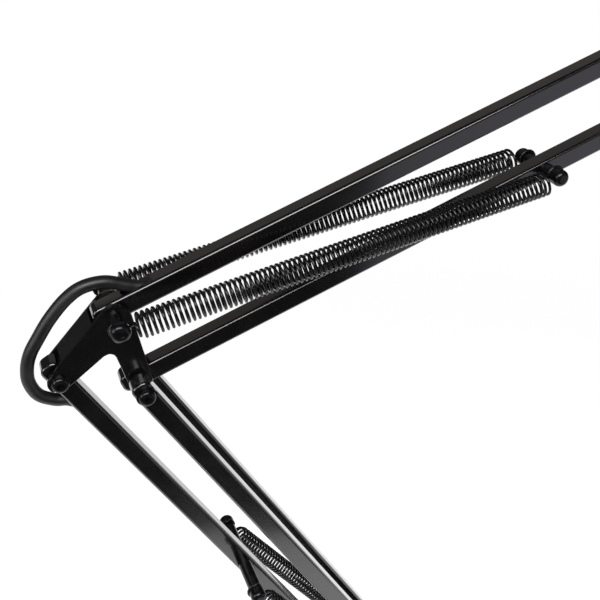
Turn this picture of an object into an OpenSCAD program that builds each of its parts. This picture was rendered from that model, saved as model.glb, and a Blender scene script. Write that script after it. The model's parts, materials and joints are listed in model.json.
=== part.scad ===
// Spring balanced microphone boom arm with a desk clamp, two parallel-link stages and a built-in cable.
// Millimetres, +Z up. The origin is on the desk face of the clamp, on the swivel axis.
// The arm lies in the XZ plane: base at the origin, elbow to -X, microphone end to +X.

/* [Arm] */
// Distance between the pivots of each tube
arm_len = 400; // [340:5:440]
// Direction of the lower stage, from base to elbow, above +X
lower_angle = 120; // [112:1:126]
// Direction of the upper stage, from elbow to head, above +X
upper_angle = 19.5; // [14:0.5:28]

/* [Tubes] */
// Outer width of the square tube
tube_w = 10; // [9.6:0.1:10.4]
// Wall of the square tube
tube_wall = 1; // [0.8:0.1:1.2]
// Rounding of the long edges of the tube
tube_r = 0.9; // [0.5:0.1:1.4]
// How far a tube between the bracket plates runs past its pivot
inner_reach = 9.2; // [8.8:0.1:9.6]
// How far a tube outside the bracket plates runs past its pivot
outer_reach = 6.8; // [6.4:0.1:7.4]
// Rounding of a tube's end, seen from the side
end_r = 3.8; // [2.5:0.1:3.9]

/* [Brackets] */
// Outside width of the folded brackets
bracket_w = 17.4; // [16.8:0.1:18]
// Sheet thickness of the brackets
sheet = 2; // [1.6:0.1:2.2]
// Apex pivot to shared pivot, along X
shared_dx = 9; // [7:0.5:11]
// Apex pivot down to shared pivot
shared_dz = 38; // [36:0.5:42]
// Apex pivot to left pivot, along -X
left_dx = 27.9; // [26:0.1:30]
// Apex pivot down to left pivot
left_dz = 29.7; // [28:0.1:31]
// Fold line of the elbow bracket beyond the line through its pivots
web_offset = 5.8; // [5.6:0.1:6.4]
// Rounding of a bracket's lobes
lobe_r = 5.7; // [5.4:0.1:6.2]

/* [Pivots] */
// Diameter of the pivot bolts
bolt_d = 4; // [3.6:0.1:4.2]
// Outside diameter of the steel sleeves in the pivots
sleeve_d = 6; // [5.6:0.1:6.4]
// Diameter of the round screw heads
head_d = 8.4; // [7.6:0.1:9]
// Height of the round screw heads
head_h = 2.9; // [2.4:0.1:3.4]
// Gap between a bracket plate and an outer tube
outer_gap = 1.35; // [1.1:0.05:1.6]

/* [Springs] */
// Outside diameter of a balance spring
spring_d = 11.5; // [10.5:0.1:12]
// Wire of a balance spring
wire_d = 1.4; // [1:0.1:1.5]
// Curls in each spring
spring_curls = 22; // [14:1:24]
// Spring anchor on the tube, from the tube's pivot
anchor_at = 230; // [200:5:250]
// Upper springs' curls off the arm's plane at the elbow
upper_near_y = 23.2; // [22.5:0.1:25]
// Upper springs' curls off the arm's plane at the tube anchor
upper_far_y = 16; // [15:0.1:18]
// How much nearer to the arm the upper springs' hooks lie at the elbow
hook_in_near = 2; // [1:0.1:2.6]
// How much nearer to the arm the upper springs' hooks lie at the tube anchor
hook_in_far = 3.4; // [2:0.1:3.6]
// Diameter of the domed ends of the spring posts
dome_d = 9.6; // [9:0.1:10.4]
// Diameter of the rounded caps of the pins through the tubes
cap_d = 8.6; // [8:0.1:8.8]

/* [Cable] */
// Outside diameter of the microphone cable
cable_d = 6.3; // [5.8:0.1:6.5]

/* [Desk clamp] */
// Width of the clamp's bar
clamp_w = 32; // [28:1:40]
// Thickness of the clamp's bar
clamp_t = 8; // [7:0.5:10]
// Clear height of the clamp's jaws
clamp_open = 62; // [58:1:76]
// Desk thickness that the clamp is set to
desk_t = 30; // [20:1:40]
// Length of each jaw from the spine
jaw_len = 54; // [48:1:64]
// Diameter of the clamp screw
screw_d = 10; // [8:0.5:12]
// Diameter of the swivel spigot
spigot_d = 12; // [11:0.1:13]
// Height of the swivel socket above the clamp
socket_h = 34; // [30:1:44]

/* [Microphone end] */
// Major diameter of the microphone thread
mic_thread_d = 15.875; // [15.8:0.005:15.9]
// Length of the microphone thread
mic_thread_len = 13; // [11:0.5:16]
// Swivel axis of the microphone mount beyond the shared pivot
head_reach = 36; // [34:0.5:42]
// Outside diameter of the cable sockets
socket_d = 24; // [23:0.1:24.4]
// Length of the cable sockets
socket_len = 26; // [24:0.5:32]

/* [Hidden] */

$fn = 48;
slack = 0.05;           // running gap beside washers and round pins
soft_gap = 0.3;         // gap between pieces that move past each other
half_w = bracket_w / 2;
half_gap = half_w - sheet;
half_tube = tube_w / 2;
bore_r = sleeve_d / 2 + slack;
bolt_r = bolt_d / 2;
bolt_hole_r = bolt_r + 0.1;
sleeve_r = sleeve_d / 2;
outer_y = half_w + outer_gap + half_tube;      // middle of an outer tube
outer_face = outer_y + half_tube;
sleeve_end = outer_face + 0.1;
washer_r = 5;
nut_r = 4.05;
nut_h = 3.2;
dome_h = 4;
cap_h = 6.4;
pin_r = 3;
collar_h = 1;           // flange of a sleeve outside an outer tube
upper_neck_end = upper_near_y - hook_in_near + wire_d / 2 + 0.15;
upper_pin_end = upper_far_y - hook_in_far + wire_d / 2 + 0.15;
lower_spring_y = outer_face + spring_d / 2 + 0.8;
lower_neck_end = lower_spring_y + wire_d / 2 + 0.15;

// Places of the pivots, as [x, z]
rubber_t = 1.5;
clamp_top = rubber_t + clamp_t;
floor_z = clamp_top + socket_h + 4;
pivot_rise = 24;
left_to_shared = [shared_dx + left_dx, left_dz - shared_dz];
base_left = [-left_to_shared.x / 2, floor_z + pivot_rise + (shared_dz - left_dz) / 2];
base_shared = base_left + left_to_shared;
lower_dir = [cos(lower_angle), sin(lower_angle)];
upper_dir = [cos(upper_angle), sin(upper_angle)];
left = base_left + arm_len * lower_dir;
shared = base_shared + arm_len * lower_dir;
apex = shared + [-shared_dx, shared_dz];
head_apex = apex + arm_len * upper_dir;
head_shared = shared + arm_len * upper_dir;
upper_anchor = shared + anchor_at * upper_dir;
lower_anchor = base_left + anchor_at * lower_dir;

// Cable slots, from a tube's pivot along the tube
slot_from = 7;
slot_to = 25;
entry_to = 21.5;        // the slot at the elbow end of the top tube
slot_w = cable_d + 0.5;
cable_r = cable_d / 2;
cable_in = 34;          // where the cable lies on the tube's axis
// Base and head parts
panel_t = 2;
base_panel_x = 34;
base_panel_z = floor_z + 10;
base_plate_round = 8;
head_panel_x = 24;
head_panel_z = 15;
head_block_w = 2 * half_gap - 0.1;
head_block_len = 17;
head_block_h = 20;
head_axis = head_shared + [head_reach, 0];
plug_r = 8.1;           // bore that takes a cable's socket plug
plug_shell_r = 9.6;     // bore that takes the shell of a cable's pin plug
fork_stem_r = 4;
fork_drop = 20;         // below the head block to the tilt axis
ear_t = 5;
tilt_w = 12;
tilt_r = 16;
tilt_axis = head_axis - [0, head_block_h / 2 + fork_drop];
screw_pitch = 1.5;

// Elbow cable, from inside the top tube to inside the lower tube, from the apex pivot as [x, z]
elbow_route = [
    [7, 11], [-2, 14], [-12, 13], [-20, 8], [-28, -0.5], [-34, -9], [-38.5, -16],
    [-41, -23], [-41.5, -31], [-38, -39], [-31, -43.5]
];
// Head cable, from the head's apex pivot, and base cable, from the base's left pivot
head_route = [[-9, 6], [0, 12.5], [9, 15]];
base_route = [[2.2, 13.2], [11, 8.5], [15.5, 0], [18, -9], [25, -16]];

// Helpers
function turn2(a, v) = [v.x * cos(a) - v.y * sin(a), v.x * sin(a) + v.y * cos(a)];
function on_tube(pivot, angle, along, up) = pivot + turn2(angle, [along, up]);
function arc(c, r, a0, a1, n = 12) = [for (i = [0:n]) c + r * [cos(a0 + (a1 - a0) * i / n), sin(a0 + (a1 - a0) * i / n)]];
function crossing(p, u, q, v) = p + u * ((q.x - p.x) * v.y - (q.y - p.y) * v.x) / (u.x * v.y - u.y * v.x);
function unit(v) = v / norm(v);
function flat_to_3d(points, y = 0) = [for (p = points) [p.x, y, p.y]];

// Smooth curve through points, with steps pieces between each two
function spline_point(p, i, t) =
    let (a = p[max(i - 1, 0)], b = p[i], c = p[i + 1], d = p[min(i + 2, len(p) - 1)])
    0.5 * ((2 * b) + (c - a) * t + (2 * a - 5 * b + 4 * c - d) * t * t + (3 * b - a - 3 * c + d) * t * t * t);
function spline(p, steps) = concat(
    [for (i = [0:len(p) - 2]) for (k = [0:steps - 1]) spline_point(p, i, k / steps)],
    [p[len(p) - 1]]
);

// Unbroken tube with flat ends along a path, turned as little as possible from ring to ring
function next_side(t, side) = unit(side - (side * t) * t);
function ring_sides(tangents, first, i = 0, found = []) =
    i == len(tangents) ? found :
    let (s = next_side(tangents[i], i == 0 ? first : found[i - 1]))
    ring_sides(tangents, first, i + 1, concat(found, [s]));
module swept_tube(path, r, sides, first_side = [0, 1, 0]) {
    last = len(path) - 1;
    tangents = [for (i = [0:last]) unit(path[min(i + 1, last)] - path[max(i - 1, 0)])];
    across = ring_sides(tangents, first_side);
    points = [
        for (i = [0:last]) for (k = [0:sides - 1])
            path[i] + r * (cos(360 * k / sides) * across[i] + sin(360 * k / sides) * cross(tangents[i], across[i]))
    ];
    walls = [
        for (i = [0:last - 1]) for (k = [0:sides - 1]) for (half = [0:1])
            let (a = i * sides + k, b = i * sides + (k + 1) % sides)
            half == 0 ? [a, a + sides, b] : [b, a + sides, b + sides]
    ];
    start_cap = [for (k = [1:sides - 2]) [0, k, k + 1]];
    end_cap = [for (k = [1:sides - 2]) [last * sides, last * sides + k + 1, last * sides + k]];
    polyhedron(points = points, faces = concat(walls, start_cap, end_cap), convexity = 10);
}

module at(p) {
    translate([p.x, 0, p.y]) children();
}
module along_tube(pivot, angle) {
    at(pivot) rotate([0, -angle, 0]) children();
}
module side_extrude(y0, y1) {
    translate([0, y1, 0]) rotate([90, 0, 0]) linear_extrude(y1 - y0) children();
}
module y_cylinder(y0, y1, r) {
    translate([0, y1, 0]) rotate([90, 0, 0]) cylinder(h = y1 - y0, r = r);
}
module y_ring(y0, y1, r, hole) {
    side_extrude(y0, y1) difference() {
        circle(r);
        circle(hole);
    }
}
module rounded_square(w, r) {
    square([w, w - 2 * r], center = true);
    square([w - 2 * r, w], center = true);
    for (x = [-1, 1], y = [-1, 1]) translate([x, y] * (w / 2 - r)) circle(r);
}
// Section of a tube stage, drawn along +X
module tube_run(x0, x1) {
    translate([x0, 0, 0]) rotate([90, 0, 90]) linear_extrude(x1 - x0) difference() {
        rounded_square(tube_w, tube_r);
        rounded_square(tube_w - 2 * tube_wall, max(tube_r - tube_wall, 0.2));
    }
}
// A square tube between two pivots, with its pivot holes
module pivoted_tube(reach, holes = [0, arm_len], hole_r = bore_r) {
    difference() {
        tube_run(-reach + end_r, arm_len + reach - end_r);
        for (x = holes) translate([x, 0, 0]) y_cylinder(-tube_w, tube_w, hole_r);
    }
}
// Moulded cap with rounded nose and a plug that sits in the tube
module tube_cap(reach) {
    nose = reach - end_r;
    side_extrude(-half_tube, half_tube) intersection() {
        translate([-reach, -half_tube]) square([end_r, tube_w]);
        translate([-reach, -half_tube]) union() {
            translate([end_r, 0]) square([tube_w, tube_w]);
            translate([0, end_r]) square([tube_w, tube_w - 2 * end_r]);
            for (z = [end_r, tube_w - end_r]) translate([end_r, z]) circle(end_r);
        }
    }
    plug = tube_w - 2 * tube_wall - 0.2;
    difference() {
        translate([-nose - 0.01, -plug / 2, -plug / 2]) cube([nose + 4.5, plug, plug]);
        y_cylinder(-tube_w, tube_w, bore_r + 0.1);
    }
}
module tube_caps(pivot, angle, reach) {
    along_tube(pivot, angle) {
        tube_cap(reach);
        translate([arm_len, 0, 0]) mirror([1, 0, 0]) tube_cap(reach);
    }
}

// Screws, nuts and sleeves on an axis along Y
module pan_head(face) {
    dome_r = (pow(head_d / 2, 2) + pow(head_h, 2)) / (2 * head_h) + 0.6;
    difference() {
        translate([0, -face, 0]) rotate([90, 0, 0]) intersection() {
            cylinder(h = head_h, r = head_d / 2);
            translate([0, 0, head_h - dome_r]) sphere(dome_r);
        }
        translate([0, -face - head_h + 1.6, 0]) rotate([90, 30, 0]) cylinder(h = 4, r = 1.45, $fn = 6);
    }
}
module bolt(head_face, nut_face) {
    pan_head(head_face);
    y_cylinder(-head_face, nut_face + nut_h + 0.6, bolt_r);
}
module hex_nut(face) {
    translate([0, face + nut_h, 0]) rotate([90, 0, 0]) difference() {
        cylinder(h = nut_h, r = nut_r, $fn = 6);
        translate([0, 0, -1]) cylinder(h = nut_h + 2, r = bolt_r + slack);
    }
}
// Domed end that keeps a spring's hook on its neck
module dome(face, d = dome_d, h = dome_h) {
    round_h = min(2.8, d / 2 - 0.5);
    flank = h - round_h;
    ball_r = (pow(d / 2, 2) + pow(round_h, 2)) / (2 * round_h);
    translate([0, -face, 0]) rotate([90, 0, 0]) union() {
        cylinder(h = flank, r = d / 2);
        intersection() {
            translate([0, 0, flank - 0.01]) cylinder(h = h, r = d / 2);
            translate([0, 0, h - ball_r]) sphere(ball_r);
        }
    }
}
module dome_nut(face) {
    difference() {
        mirror([0, 1, 0]) dome(face);
        y_cylinder(0, face + 2.2, bolt_r + slack);
    }
}

// Clamp
module clamp_frame() color("#1b1c1f") {
    spine = -jaw_len / 2 - clamp_t;
    low = -clamp_open;
    difference() {
        union() {
            translate([0, clamp_w / 2, 0]) rotate([90, 0, 0]) linear_extrude(clamp_w) polygon(concat(
                [[jaw_len / 2, rubber_t], [jaw_len / 2, clamp_top - 2]],
                arc([jaw_len / 2 - 2, clamp_top - 2], 2, 0, 90, 4),
                arc([spine + 5, clamp_top - 5], 5, 90, 180, 8),
                arc([spine + 5, low - clamp_t + 5], 5, 180, 270, 8),
                arc([jaw_len / 2 - 2, low - clamp_t + 2], 2, 270, 360, 4),
                [[jaw_len / 2, low]],
                arc([spine + clamp_t + 3, low + 3], 3, 270, 180, 6),
                arc([spine + clamp_t + 3, rubber_t - 3], 3, 180, 90, 6)
            ));
            translate([0, 0, low - clamp_t - 8]) cylinder(h = 9, r = screw_d / 2 + 4);
        }
        translate([0, 0, low - 30]) cylinder(h = 40, r = screw_d / 2 + slack);
        translate([0, 0, 3]) cylinder(h = 20, r = socket_seat_r + slack / 2);
    }
}
socket_seat_r = spigot_d / 2 + 2.5;
socket_r = spigot_d / 2 + 4.5;
liner_r = spigot_d / 2 + 1;
module jaw_pad() color("#2a2a2c") {
    translate([-jaw_len / 2 + 4, -clamp_w / 2 + 1, 0]) cube([jaw_len - 5, clamp_w - 2, rubber_t]);
}
lock_z = clamp_top + socket_h * 0.55;
module swivel_socket() color("#1b1c1f") {
    difference() {
        union() {
            translate([0, 0, 3.5]) cylinder(h = clamp_top - 3.5, r = socket_seat_r);
            translate([0, 0, clamp_top]) cylinder(h = socket_h, r = socket_r);
            translate([0, 0, lock_z]) rotate([90, 0, 0]) cylinder(h = socket_r + 5, r = 5.5);
        }
        translate([0, 0, 5.5]) cylinder(h = socket_h + 20, r = liner_r + slack / 2);
        translate([0, 0, lock_z]) rotate([90, 0, 0]) cylinder(h = socket_r + 20, r = lock_r + slack);
    }
}
lock_r = 3;
groove_r = spigot_d / 2 - 1;
module socket_liner() color("#d8d6cf") {
    difference() {
        union() {
            translate([0, 0, 6]) cylinder(h = clamp_top + socket_h - 6, r = liner_r);
            translate([0, 0, clamp_top + socket_h]) cylinder(h = 1.5, r = socket_r - 0.5);
        }
        translate([0, 0, 5]) cylinder(h = socket_h + 20, r = spigot_d / 2 + slack);
        translate([0, 0, lock_z]) rotate([90, 0, 0]) cylinder(h = socket_r + 20, r = lock_r + 0.2);
    }
}
module swivel_lock_knob() color("#141416") {
    tip = groove_r + 0.15;
    knob_from = socket_r + 5 + 1.5;
    translate([0, 0, lock_z]) rotate([90, 0, 0]) {
        translate([0, 0, tip]) cylinder(h = knob_from - tip + 1, r = lock_r);
        difference() {
            translate([0, 0, knob_from]) cylinder(h = 12, r = 8);
            for (i = [0:7]) rotate([0, 0, 45 * i]) translate([9.2, 0, knob_from - 1]) cylinder(h = 14, r = 2.2, $fn = 24);
        }
    }
}
pad_top = -desk_t;
pad_rubber_t = 2;
pad_r = 17;
ball_r = 4.5;
ball_z = pad_top - pad_rubber_t - 6.5;
module clamp_pad_rubber() color("#2a2a2c") {
    translate([0, 0, pad_top - pad_rubber_t]) cylinder(h = pad_rubber_t, r = pad_r - 1);
}
module clamp_pad() color("#8f9296") {
    top = pad_top - pad_rubber_t;
    difference() {
        union() {
            translate([0, 0, top - 2.5]) cylinder(h = 2.5, r = pad_r);
            translate([0, 0, top - 9]) cylinder(h = 7, r = 8);
        }
        translate([0, 0, ball_z]) sphere(ball_r + slack);
        translate([0, 0, top - 15]) cylinder(h = 15 - 6.5, r = 3.6);
    }
}
screw_spare = 46;       // screw below the lower jaw
screw_bottom = -clamp_open - clamp_t - screw_spare;
module clamp_screw() color("#8f9296") {
    difference() {
        union() {
            translate([0, 0, ball_z]) sphere(ball_r);
            translate([0, 0, ball_z - 8]) cylinder(h = 7, r = 3.3);
            translate([0, 0, screw_bottom]) cylinder(h = ball_z - 7 - screw_bottom, r = screw_d / 2);
            translate([0, 0, screw_bottom - 12]) cylinder(h = 14, r = screw_d / 2 + 2.5);
        }
        translate([0, 0, screw_bottom - 5]) rotate([90, 0, 0]) cylinder(h = 40, r = bar_r + slack, center = true);
    }
}
bar_r = 3;
bar_half = 30;
module tommy_bar() color("#8f9296") {
    translate([0, 0, screw_bottom - 5]) y_cylinder(-bar_half, bar_half, bar_r);
}
module tommy_bar_caps() color("#141416") {
    for (s = [0:1]) mirror([0, s, 0]) translate([0, -bar_half, screw_bottom - 5]) rotate([90, 0, 0]) difference() {
        union() {
            translate([0, 0, -5]) cylinder(h = 7, r = bar_r + 1.6);
            translate([0, 0, 2]) sphere(bar_r + 1.6);
        }
        translate([0, 0, -6]) cylinder(h = 6, r = bar_r + slack / 2);
    }
}

// Base bracket: two plates on a floor, with a panel for the cable socket
module base_plate_outline() {
    r = base_plate_round;
    polygon(concat(
        arc(base_left, r, 150, 60, 8),
        arc(base_shared, r - 1, 60, 0, 6),
        [[base_panel_x + panel_t, base_shared.y - 5], [base_panel_x + panel_t, floor_z - sheet]],
        [[base_left.x - r, floor_z - sheet]],
        [[base_left.x - r, base_left.y]]
    ));
}
module base_bracket() color("#18191c") {
    difference() {
        union() {
            for (s = [0:1]) mirror([0, s, 0]) side_extrude(half_gap, half_w) base_plate_outline();
            translate([base_left.x - base_plate_round, -half_w, floor_z - sheet])
                cube([base_panel_x + panel_t - base_left.x + base_plate_round, bracket_w, sheet]);
            translate([base_panel_x, -14, base_panel_z - 14]) cube([panel_t, 28, 28]);
        }
        for (p = [base_left, base_shared]) at(p) y_cylinder(-20, 20, bolt_hole_r);
        translate([base_panel_x - 1, 0, base_panel_z]) rotate([0, 90, 0]) cylinder(h = 4, r = cable_r + 0.4);
        translate([0, 0, floor_z - 5]) cylinder(h = 10, r = 4);
    }
}
module swivel_spigot() color("#8f9296") {
    collar_z = clamp_top + socket_h + 1.5 + slack;
    difference() {
        translate([0, 0, 8]) cylinder(h = collar_z - 8, r = spigot_d / 2);
        translate([0, 0, lock_z - 4]) difference() {
            cylinder(h = 8, r = spigot_d / 2 + 1);
            cylinder(h = 8, r = groove_r);
        }
    }
    translate([0, 0, collar_z]) cylinder(h = floor_z - sheet - collar_z, r = socket_r);
    translate([0, 0, floor_z - sheet - 0.5]) cylinder(h = sheet + 0.5, r = 3.95);
    translate([0, 0, floor_z]) cylinder(h = 1.8, r = 6);
}
module base_pivot_bolt() color("#2c2d30") {
    at(base_left) bolt(half_w, half_w);
}
module base_spring_bolt() color("#1f2023") {
    at(base_shared) {
        dome(lower_neck_end);
        y_cylinder(-lower_neck_end - 0.1, lower_neck_end + 2, bolt_r);
    }
}
module base_sleeves() color("#26272a") {
    at(base_left) y_ring(-half_gap, half_gap, sleeve_r, bolt_hole_r);
    at(base_shared) {
        y_ring(-half_gap, half_gap, sleeve_r + 1, bolt_hole_r);
        for (s = [0:1]) mirror([0, s, 0]) {
            y_ring(half_w, sleeve_end, sleeve_r, bolt_hole_r);
            y_ring(sleeve_end, lower_neck_end, sleeve_r + 0.3, bolt_hole_r);
        }
    }
}
module inner_washers(p) {
    at(p) for (s = [0:1]) mirror([0, s, 0]) y_ring(half_tube + slack, half_gap - slack, washer_r, sleeve_r + slack);
}
module outer_washers(p) {
    at(p) for (s = [0:1]) mirror([0, s, 0])
        y_ring(half_w + slack, half_w + outer_gap - slack, washer_r, sleeve_r + slack);
}
module base_washers() color("#1d1d1f") {
    inner_washers(base_left);
    outer_washers(base_shared);
}
module base_nuts() color("#2c2d30") {
    at(base_left) hex_nut(half_w);
    at(base_shared) dome_nut(lower_neck_end);
}
// Round cable socket on a panel, facing +X, with its floor towards the panel
module connector_shell(bore) {
    difference() {
        union() {
            translate([0, -13, -13]) cube([3, 26, 26]);
            rotate([0, 90, 0]) cylinder(h = socket_len, r = socket_d / 2);
        }
        translate([8, 0, 0]) rotate([0, 90, 0]) cylinder(h = socket_len, r = bore);
        translate([-1, 0, 0]) rotate([0, 90, 0]) cylinder(h = 20, r = cable_r + 0.1);
    }
    for (s = [-1, 1]) translate([2.5, 9.8 * s, 9.8 * s]) rotate([0, 90, 0]) cylinder(h = 2, r = 2.4);
}
module contact_ring(depth, reach, r) {
    for (a = [90, 210, 330]) rotate([a, 0, 0]) translate([depth, 0, 4]) rotate([0, 90, 0]) cylinder(h = reach, r = r);
}
module base_connector_shell() color("#141416") {
    translate([base_panel_x + panel_t, 0, base_panel_z]) connector_shell(plug_r);
}
module base_connector_pins() color("#b9bbbe") {
    translate([base_panel_x + panel_t, 0, base_panel_z]) {
        translate([8, 0, 0]) rotate([0, 90, 0]) cylinder(h = 3, r = plug_r);
        contact_ring(10.9, 10, 1.2);
    }
}
module route_tube(points) {
    swept_tube(flat_to_3d(spline(points, 3)), cable_r, 10);
}
module base_cable() color("#1b1b1d") {
    panel_end = [base_panel_x + panel_t + 8, base_panel_z];
    route_tube(concat(
        [for (a = [cable_in, 30.5, 27]) on_tube(base_left, lower_angle, a, 0)],
        [on_tube(base_left, lower_angle, 18, -3.1)],
        [for (p = base_route) base_left + p],
        [panel_end - [14, 0], panel_end - [7, 0], panel_end]
    ));
}

// Lower stage
module cable_slot(to = slot_to) {
    translate([slot_from, -slot_w / 2, 0]) cube([to - slot_from, slot_w, tube_w]);
}
module lower_inner_tube() color("#16171a") {
    along_tube(base_left, lower_angle) difference() {
        pivoted_tube(inner_reach);
        translate([anchor_at, 0, 0]) y_cylinder(-tube_w, tube_w, pin_r + slack / 2);
        mirror([0, 0, 1]) cable_slot();
        translate([arm_len, 0, 0]) mirror([1, 0, 0]) cable_slot();
    }
}
module lower_inner_tube_caps() color("#101012") {
    tube_caps(base_left, lower_angle, inner_reach);
}
// Pin through a tube, with a sleeve beside the tube and a domed end on each side
module spring_pin(p, neck_end) {
    at(p) {
        y_cylinder(-neck_end - 0.1, neck_end + 0.1, pin_r);
        for (s = [0:1]) mirror([0, s, 0]) {
            y_cylinder(half_tube + slack / 2, neck_end - wire_d - 0.8, pin_r + 0.7);
            dome(neck_end, cap_d, cap_h);
        }
    }
}
module lower_spring_pin() color("#1f2023") {
    spring_pin(lower_anchor, lower_neck_end);
}
module lower_cable() color("#1b1b1d") {
    along_tube(base_left, lower_angle) difference() {
        translate([cable_in, 0, 0]) rotate([0, 90, 0]) cylinder(h = arm_len - 2 * cable_in, r = cable_r);
        translate([anchor_at, 0, 0]) y_cylinder(-tube_w, tube_w, pin_r + slack);
    }
}
module outer_tube() {
    along_tube(base_shared, lower_angle) pivoted_tube(outer_reach);
}
module lower_front_tube() color("#16171a") {
    translate([0, -outer_y, 0]) outer_tube();
}
module lower_back_tube() color("#16171a") {
    translate([0, outer_y, 0]) outer_tube();
}
module lower_outer_tube_caps() color("#101012") {
    for (s = [-1, 1]) translate([0, s * outer_y, 0]) tube_caps(base_shared, lower_angle, outer_reach);
}

// Elbow
notch_left_angle = 36.4;
notch_right_angle = 105;
notch_r = 3.5;
top_round = 7.7;
top_drop = 2.4;
module elbow_outline() {
    fold_angle = atan2(left_dz, left_dx);
    right_angle = 101;
    pl = left - apex;
    ps = shared - apex;
    top = [0.5, -top_drop];
    inner_r = lobe_r - 1;
    down = [sin(notch_left_angle), -cos(notch_left_angle)];
    back = [-sin(notch_right_angle), cos(notch_right_angle)];
    notch = crossing(
        pl + (inner_r + notch_r) * down, [cos(notch_left_angle), sin(notch_left_angle)],
        ps + (lobe_r + notch_r) * back, [cos(notch_right_angle), sin(notch_right_angle)]
    );
    polygon(concat(
        arc(ps, lobe_r, notch_right_angle + 90, 360 + right_angle - 90, 14),
        arc(top, top_round, right_angle - 90, 90 + fold_angle, 14),
        [web_offset * [-sin(fold_angle), cos(fold_angle)]],
        arc(pl, web_offset, 90 + fold_angle, 225, 6),
        arc(pl, inner_r, 250, 270 + notch_left_angle, 6),
        arc(notch, notch_r, 90 + notch_left_angle, notch_right_angle - 90, 10)
    ));
}
module elbow_bracket() color("#18191c") {
    fold_angle = atan2(left_dz, left_dx);
    leg = norm([left_dx, left_dz]);
    web_from = sqrt(pow(inner_reach + 0.45, 2) - pow(web_offset - sheet, 2));
    difference() {
        union() {
            at(apex) for (s = [0:1]) mirror([0, s, 0]) side_extrude(half_gap, half_w) elbow_outline();
            at(apex) rotate([0, 180 - fold_angle, 0])
                translate([web_from, -half_w, -web_offset]) cube([leg - 2 * web_from, bracket_w, sheet]);
        }
        for (p = [apex, left, shared]) at(p) y_cylinder(-20, 20, bolt_hole_r);
    }
}
module elbow_spring_bolt() color("#1f2023") {
    at(apex) {
        dome(upper_neck_end);
        y_cylinder(-upper_neck_end - 0.1, upper_neck_end + 2, bolt_r);
    }
}
module elbow_bolts() color("#2c2d30") {
    at(left) bolt(half_w, half_w);
    at(shared) bolt(sleeve_end + collar_h, sleeve_end + collar_h);
}
module elbow_sleeves() color("#26272a") {
    for (p = [apex, left, shared]) at(p) y_ring(-half_gap, half_gap, sleeve_r, bolt_hole_r);
    for (s = [0:1]) mirror([0, s, 0]) {
        at(shared) {
            y_ring(half_w, sleeve_end, sleeve_r, bolt_hole_r);
            y_ring(sleeve_end, sleeve_end + collar_h, washer_r, bolt_hole_r);
        }
        at(apex) y_ring(half_w, upper_neck_end, sleeve_r + 0.3, bolt_hole_r);
    }
}
module elbow_washers() color("#1d1d1f") {
    for (p = [apex, left, shared]) inner_washers(p);
    outer_washers(shared);
}
module elbow_nuts() color("#2c2d30") {
    at(left) hex_nut(half_w);
    at(shared) hex_nut(sleeve_end + collar_h);
    at(apex) dome_nut(upper_neck_end);
}
module elbow_cable() color("#1b1b1d") {
    route_tube(concat(
        [for (a = [cable_in, 30.5, 27]) on_tube(apex, upper_angle, a, 0)],
        [on_tube(apex, upper_angle, 21.5, 0.6), on_tube(apex, upper_angle, 14.5, 4.6)],
        [for (p = elbow_route) apex + p],
        [on_tube(left, lower_angle, -14.5, 5.2), on_tube(left, lower_angle, -21, 1.6)],
        [for (a = [27, 30.5, cable_in]) on_tube(left, lower_angle, -a, 0)]
    ));
}

// Upper stage
module upper_top_tube() color("#16171a") {
    along_tube(apex, upper_angle) difference() {
        pivoted_tube(inner_reach);
        cable_slot(entry_to);
        translate([arm_len, 0, 0]) mirror([1, 0, 0]) cable_slot();
    }
}
module upper_top_tube_caps() color("#101012") {
    tube_caps(apex, upper_angle, inner_reach);
}
module grommet(to = slot_to) {
    translate([to + 0.05, -slot_w / 2 - 0.6, half_tube]) cube([1, slot_w + 1.2, 0.5]);
}
module cable_grommets() color("#101012") {
    along_tube(apex, upper_angle) {
        grommet(entry_to);
        translate([arm_len, 0, 0]) mirror([1, 0, 0]) grommet();
    }
}
module upper_cable() color("#1b1b1d") {
    along_tube(apex, upper_angle)
        translate([cable_in, 0, 0]) rotate([0, 90, 0]) cylinder(h = arm_len - 2 * cable_in, r = cable_r);
}
module upper_bottom_tube() color("#16171a") {
    along_tube(shared, upper_angle) difference() {
        pivoted_tube(inner_reach);
        translate([anchor_at, 0, 0]) y_cylinder(-tube_w, tube_w, pin_r + slack / 2);
    }
}
module upper_bottom_tube_caps() color("#101012") {
    tube_caps(shared, upper_angle, inner_reach);
}
module upper_spring_pin() color("#1f2023") {
    spring_pin(upper_anchor, upper_pin_end);
}

// Head bracket: two plates, a web above the block, and a panel for the cable socket
module head_bracket() color("#18191c") {
    a = [0, 0];
    b = head_shared - head_apex;
    end = b + [head_reach + head_block_len / 2, 0];
    difference() {
        union() {
            at(head_apex) for (s = [0:1]) mirror([0, s, 0]) side_extrude(half_gap, half_w) polygon(concat(
                arc(a, lobe_r, 190, 110, 6),
                [[head_panel_x + panel_t, head_panel_z - 6], [head_panel_x + panel_t, -4]],
                [[end.x - 4, end.y + head_block_h / 2]],
                arc([end.x - 4, end.y + head_block_h / 2 - 4], 4, 90, 0, 4),
                arc([end.x - 4, end.y - head_block_h / 2 + 4], 4, 0, -90, 4),
                arc(b, lobe_r, 270, 190, 6)
            ));
            translate([head_apex.x + head_panel_x, -14, head_apex.y + head_panel_z - 14]) cube([panel_t, 28, 28]);
        }
        for (p = [head_apex, head_shared]) at(p) y_cylinder(-20, 20, bolt_hole_r);
        for (x = [-5, 5]) at(head_axis + [x, 7]) y_cylinder(-20, 20, bolt_hole_r);
        translate([head_apex.x + head_panel_x - 1, 0, head_apex.y + head_panel_z])
            rotate([0, 90, 0]) cylinder(h = 4, r = cable_r + 0.4);
    }
}
module head_bolts() color("#2c2d30") {
    for (p = [head_apex, head_shared]) at(p) bolt(half_w, half_w);
}
module head_sleeves() color("#26272a") {
    for (p = [head_apex, head_shared]) at(p) y_ring(-half_gap, half_gap, sleeve_r, bolt_hole_r);
}
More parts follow.
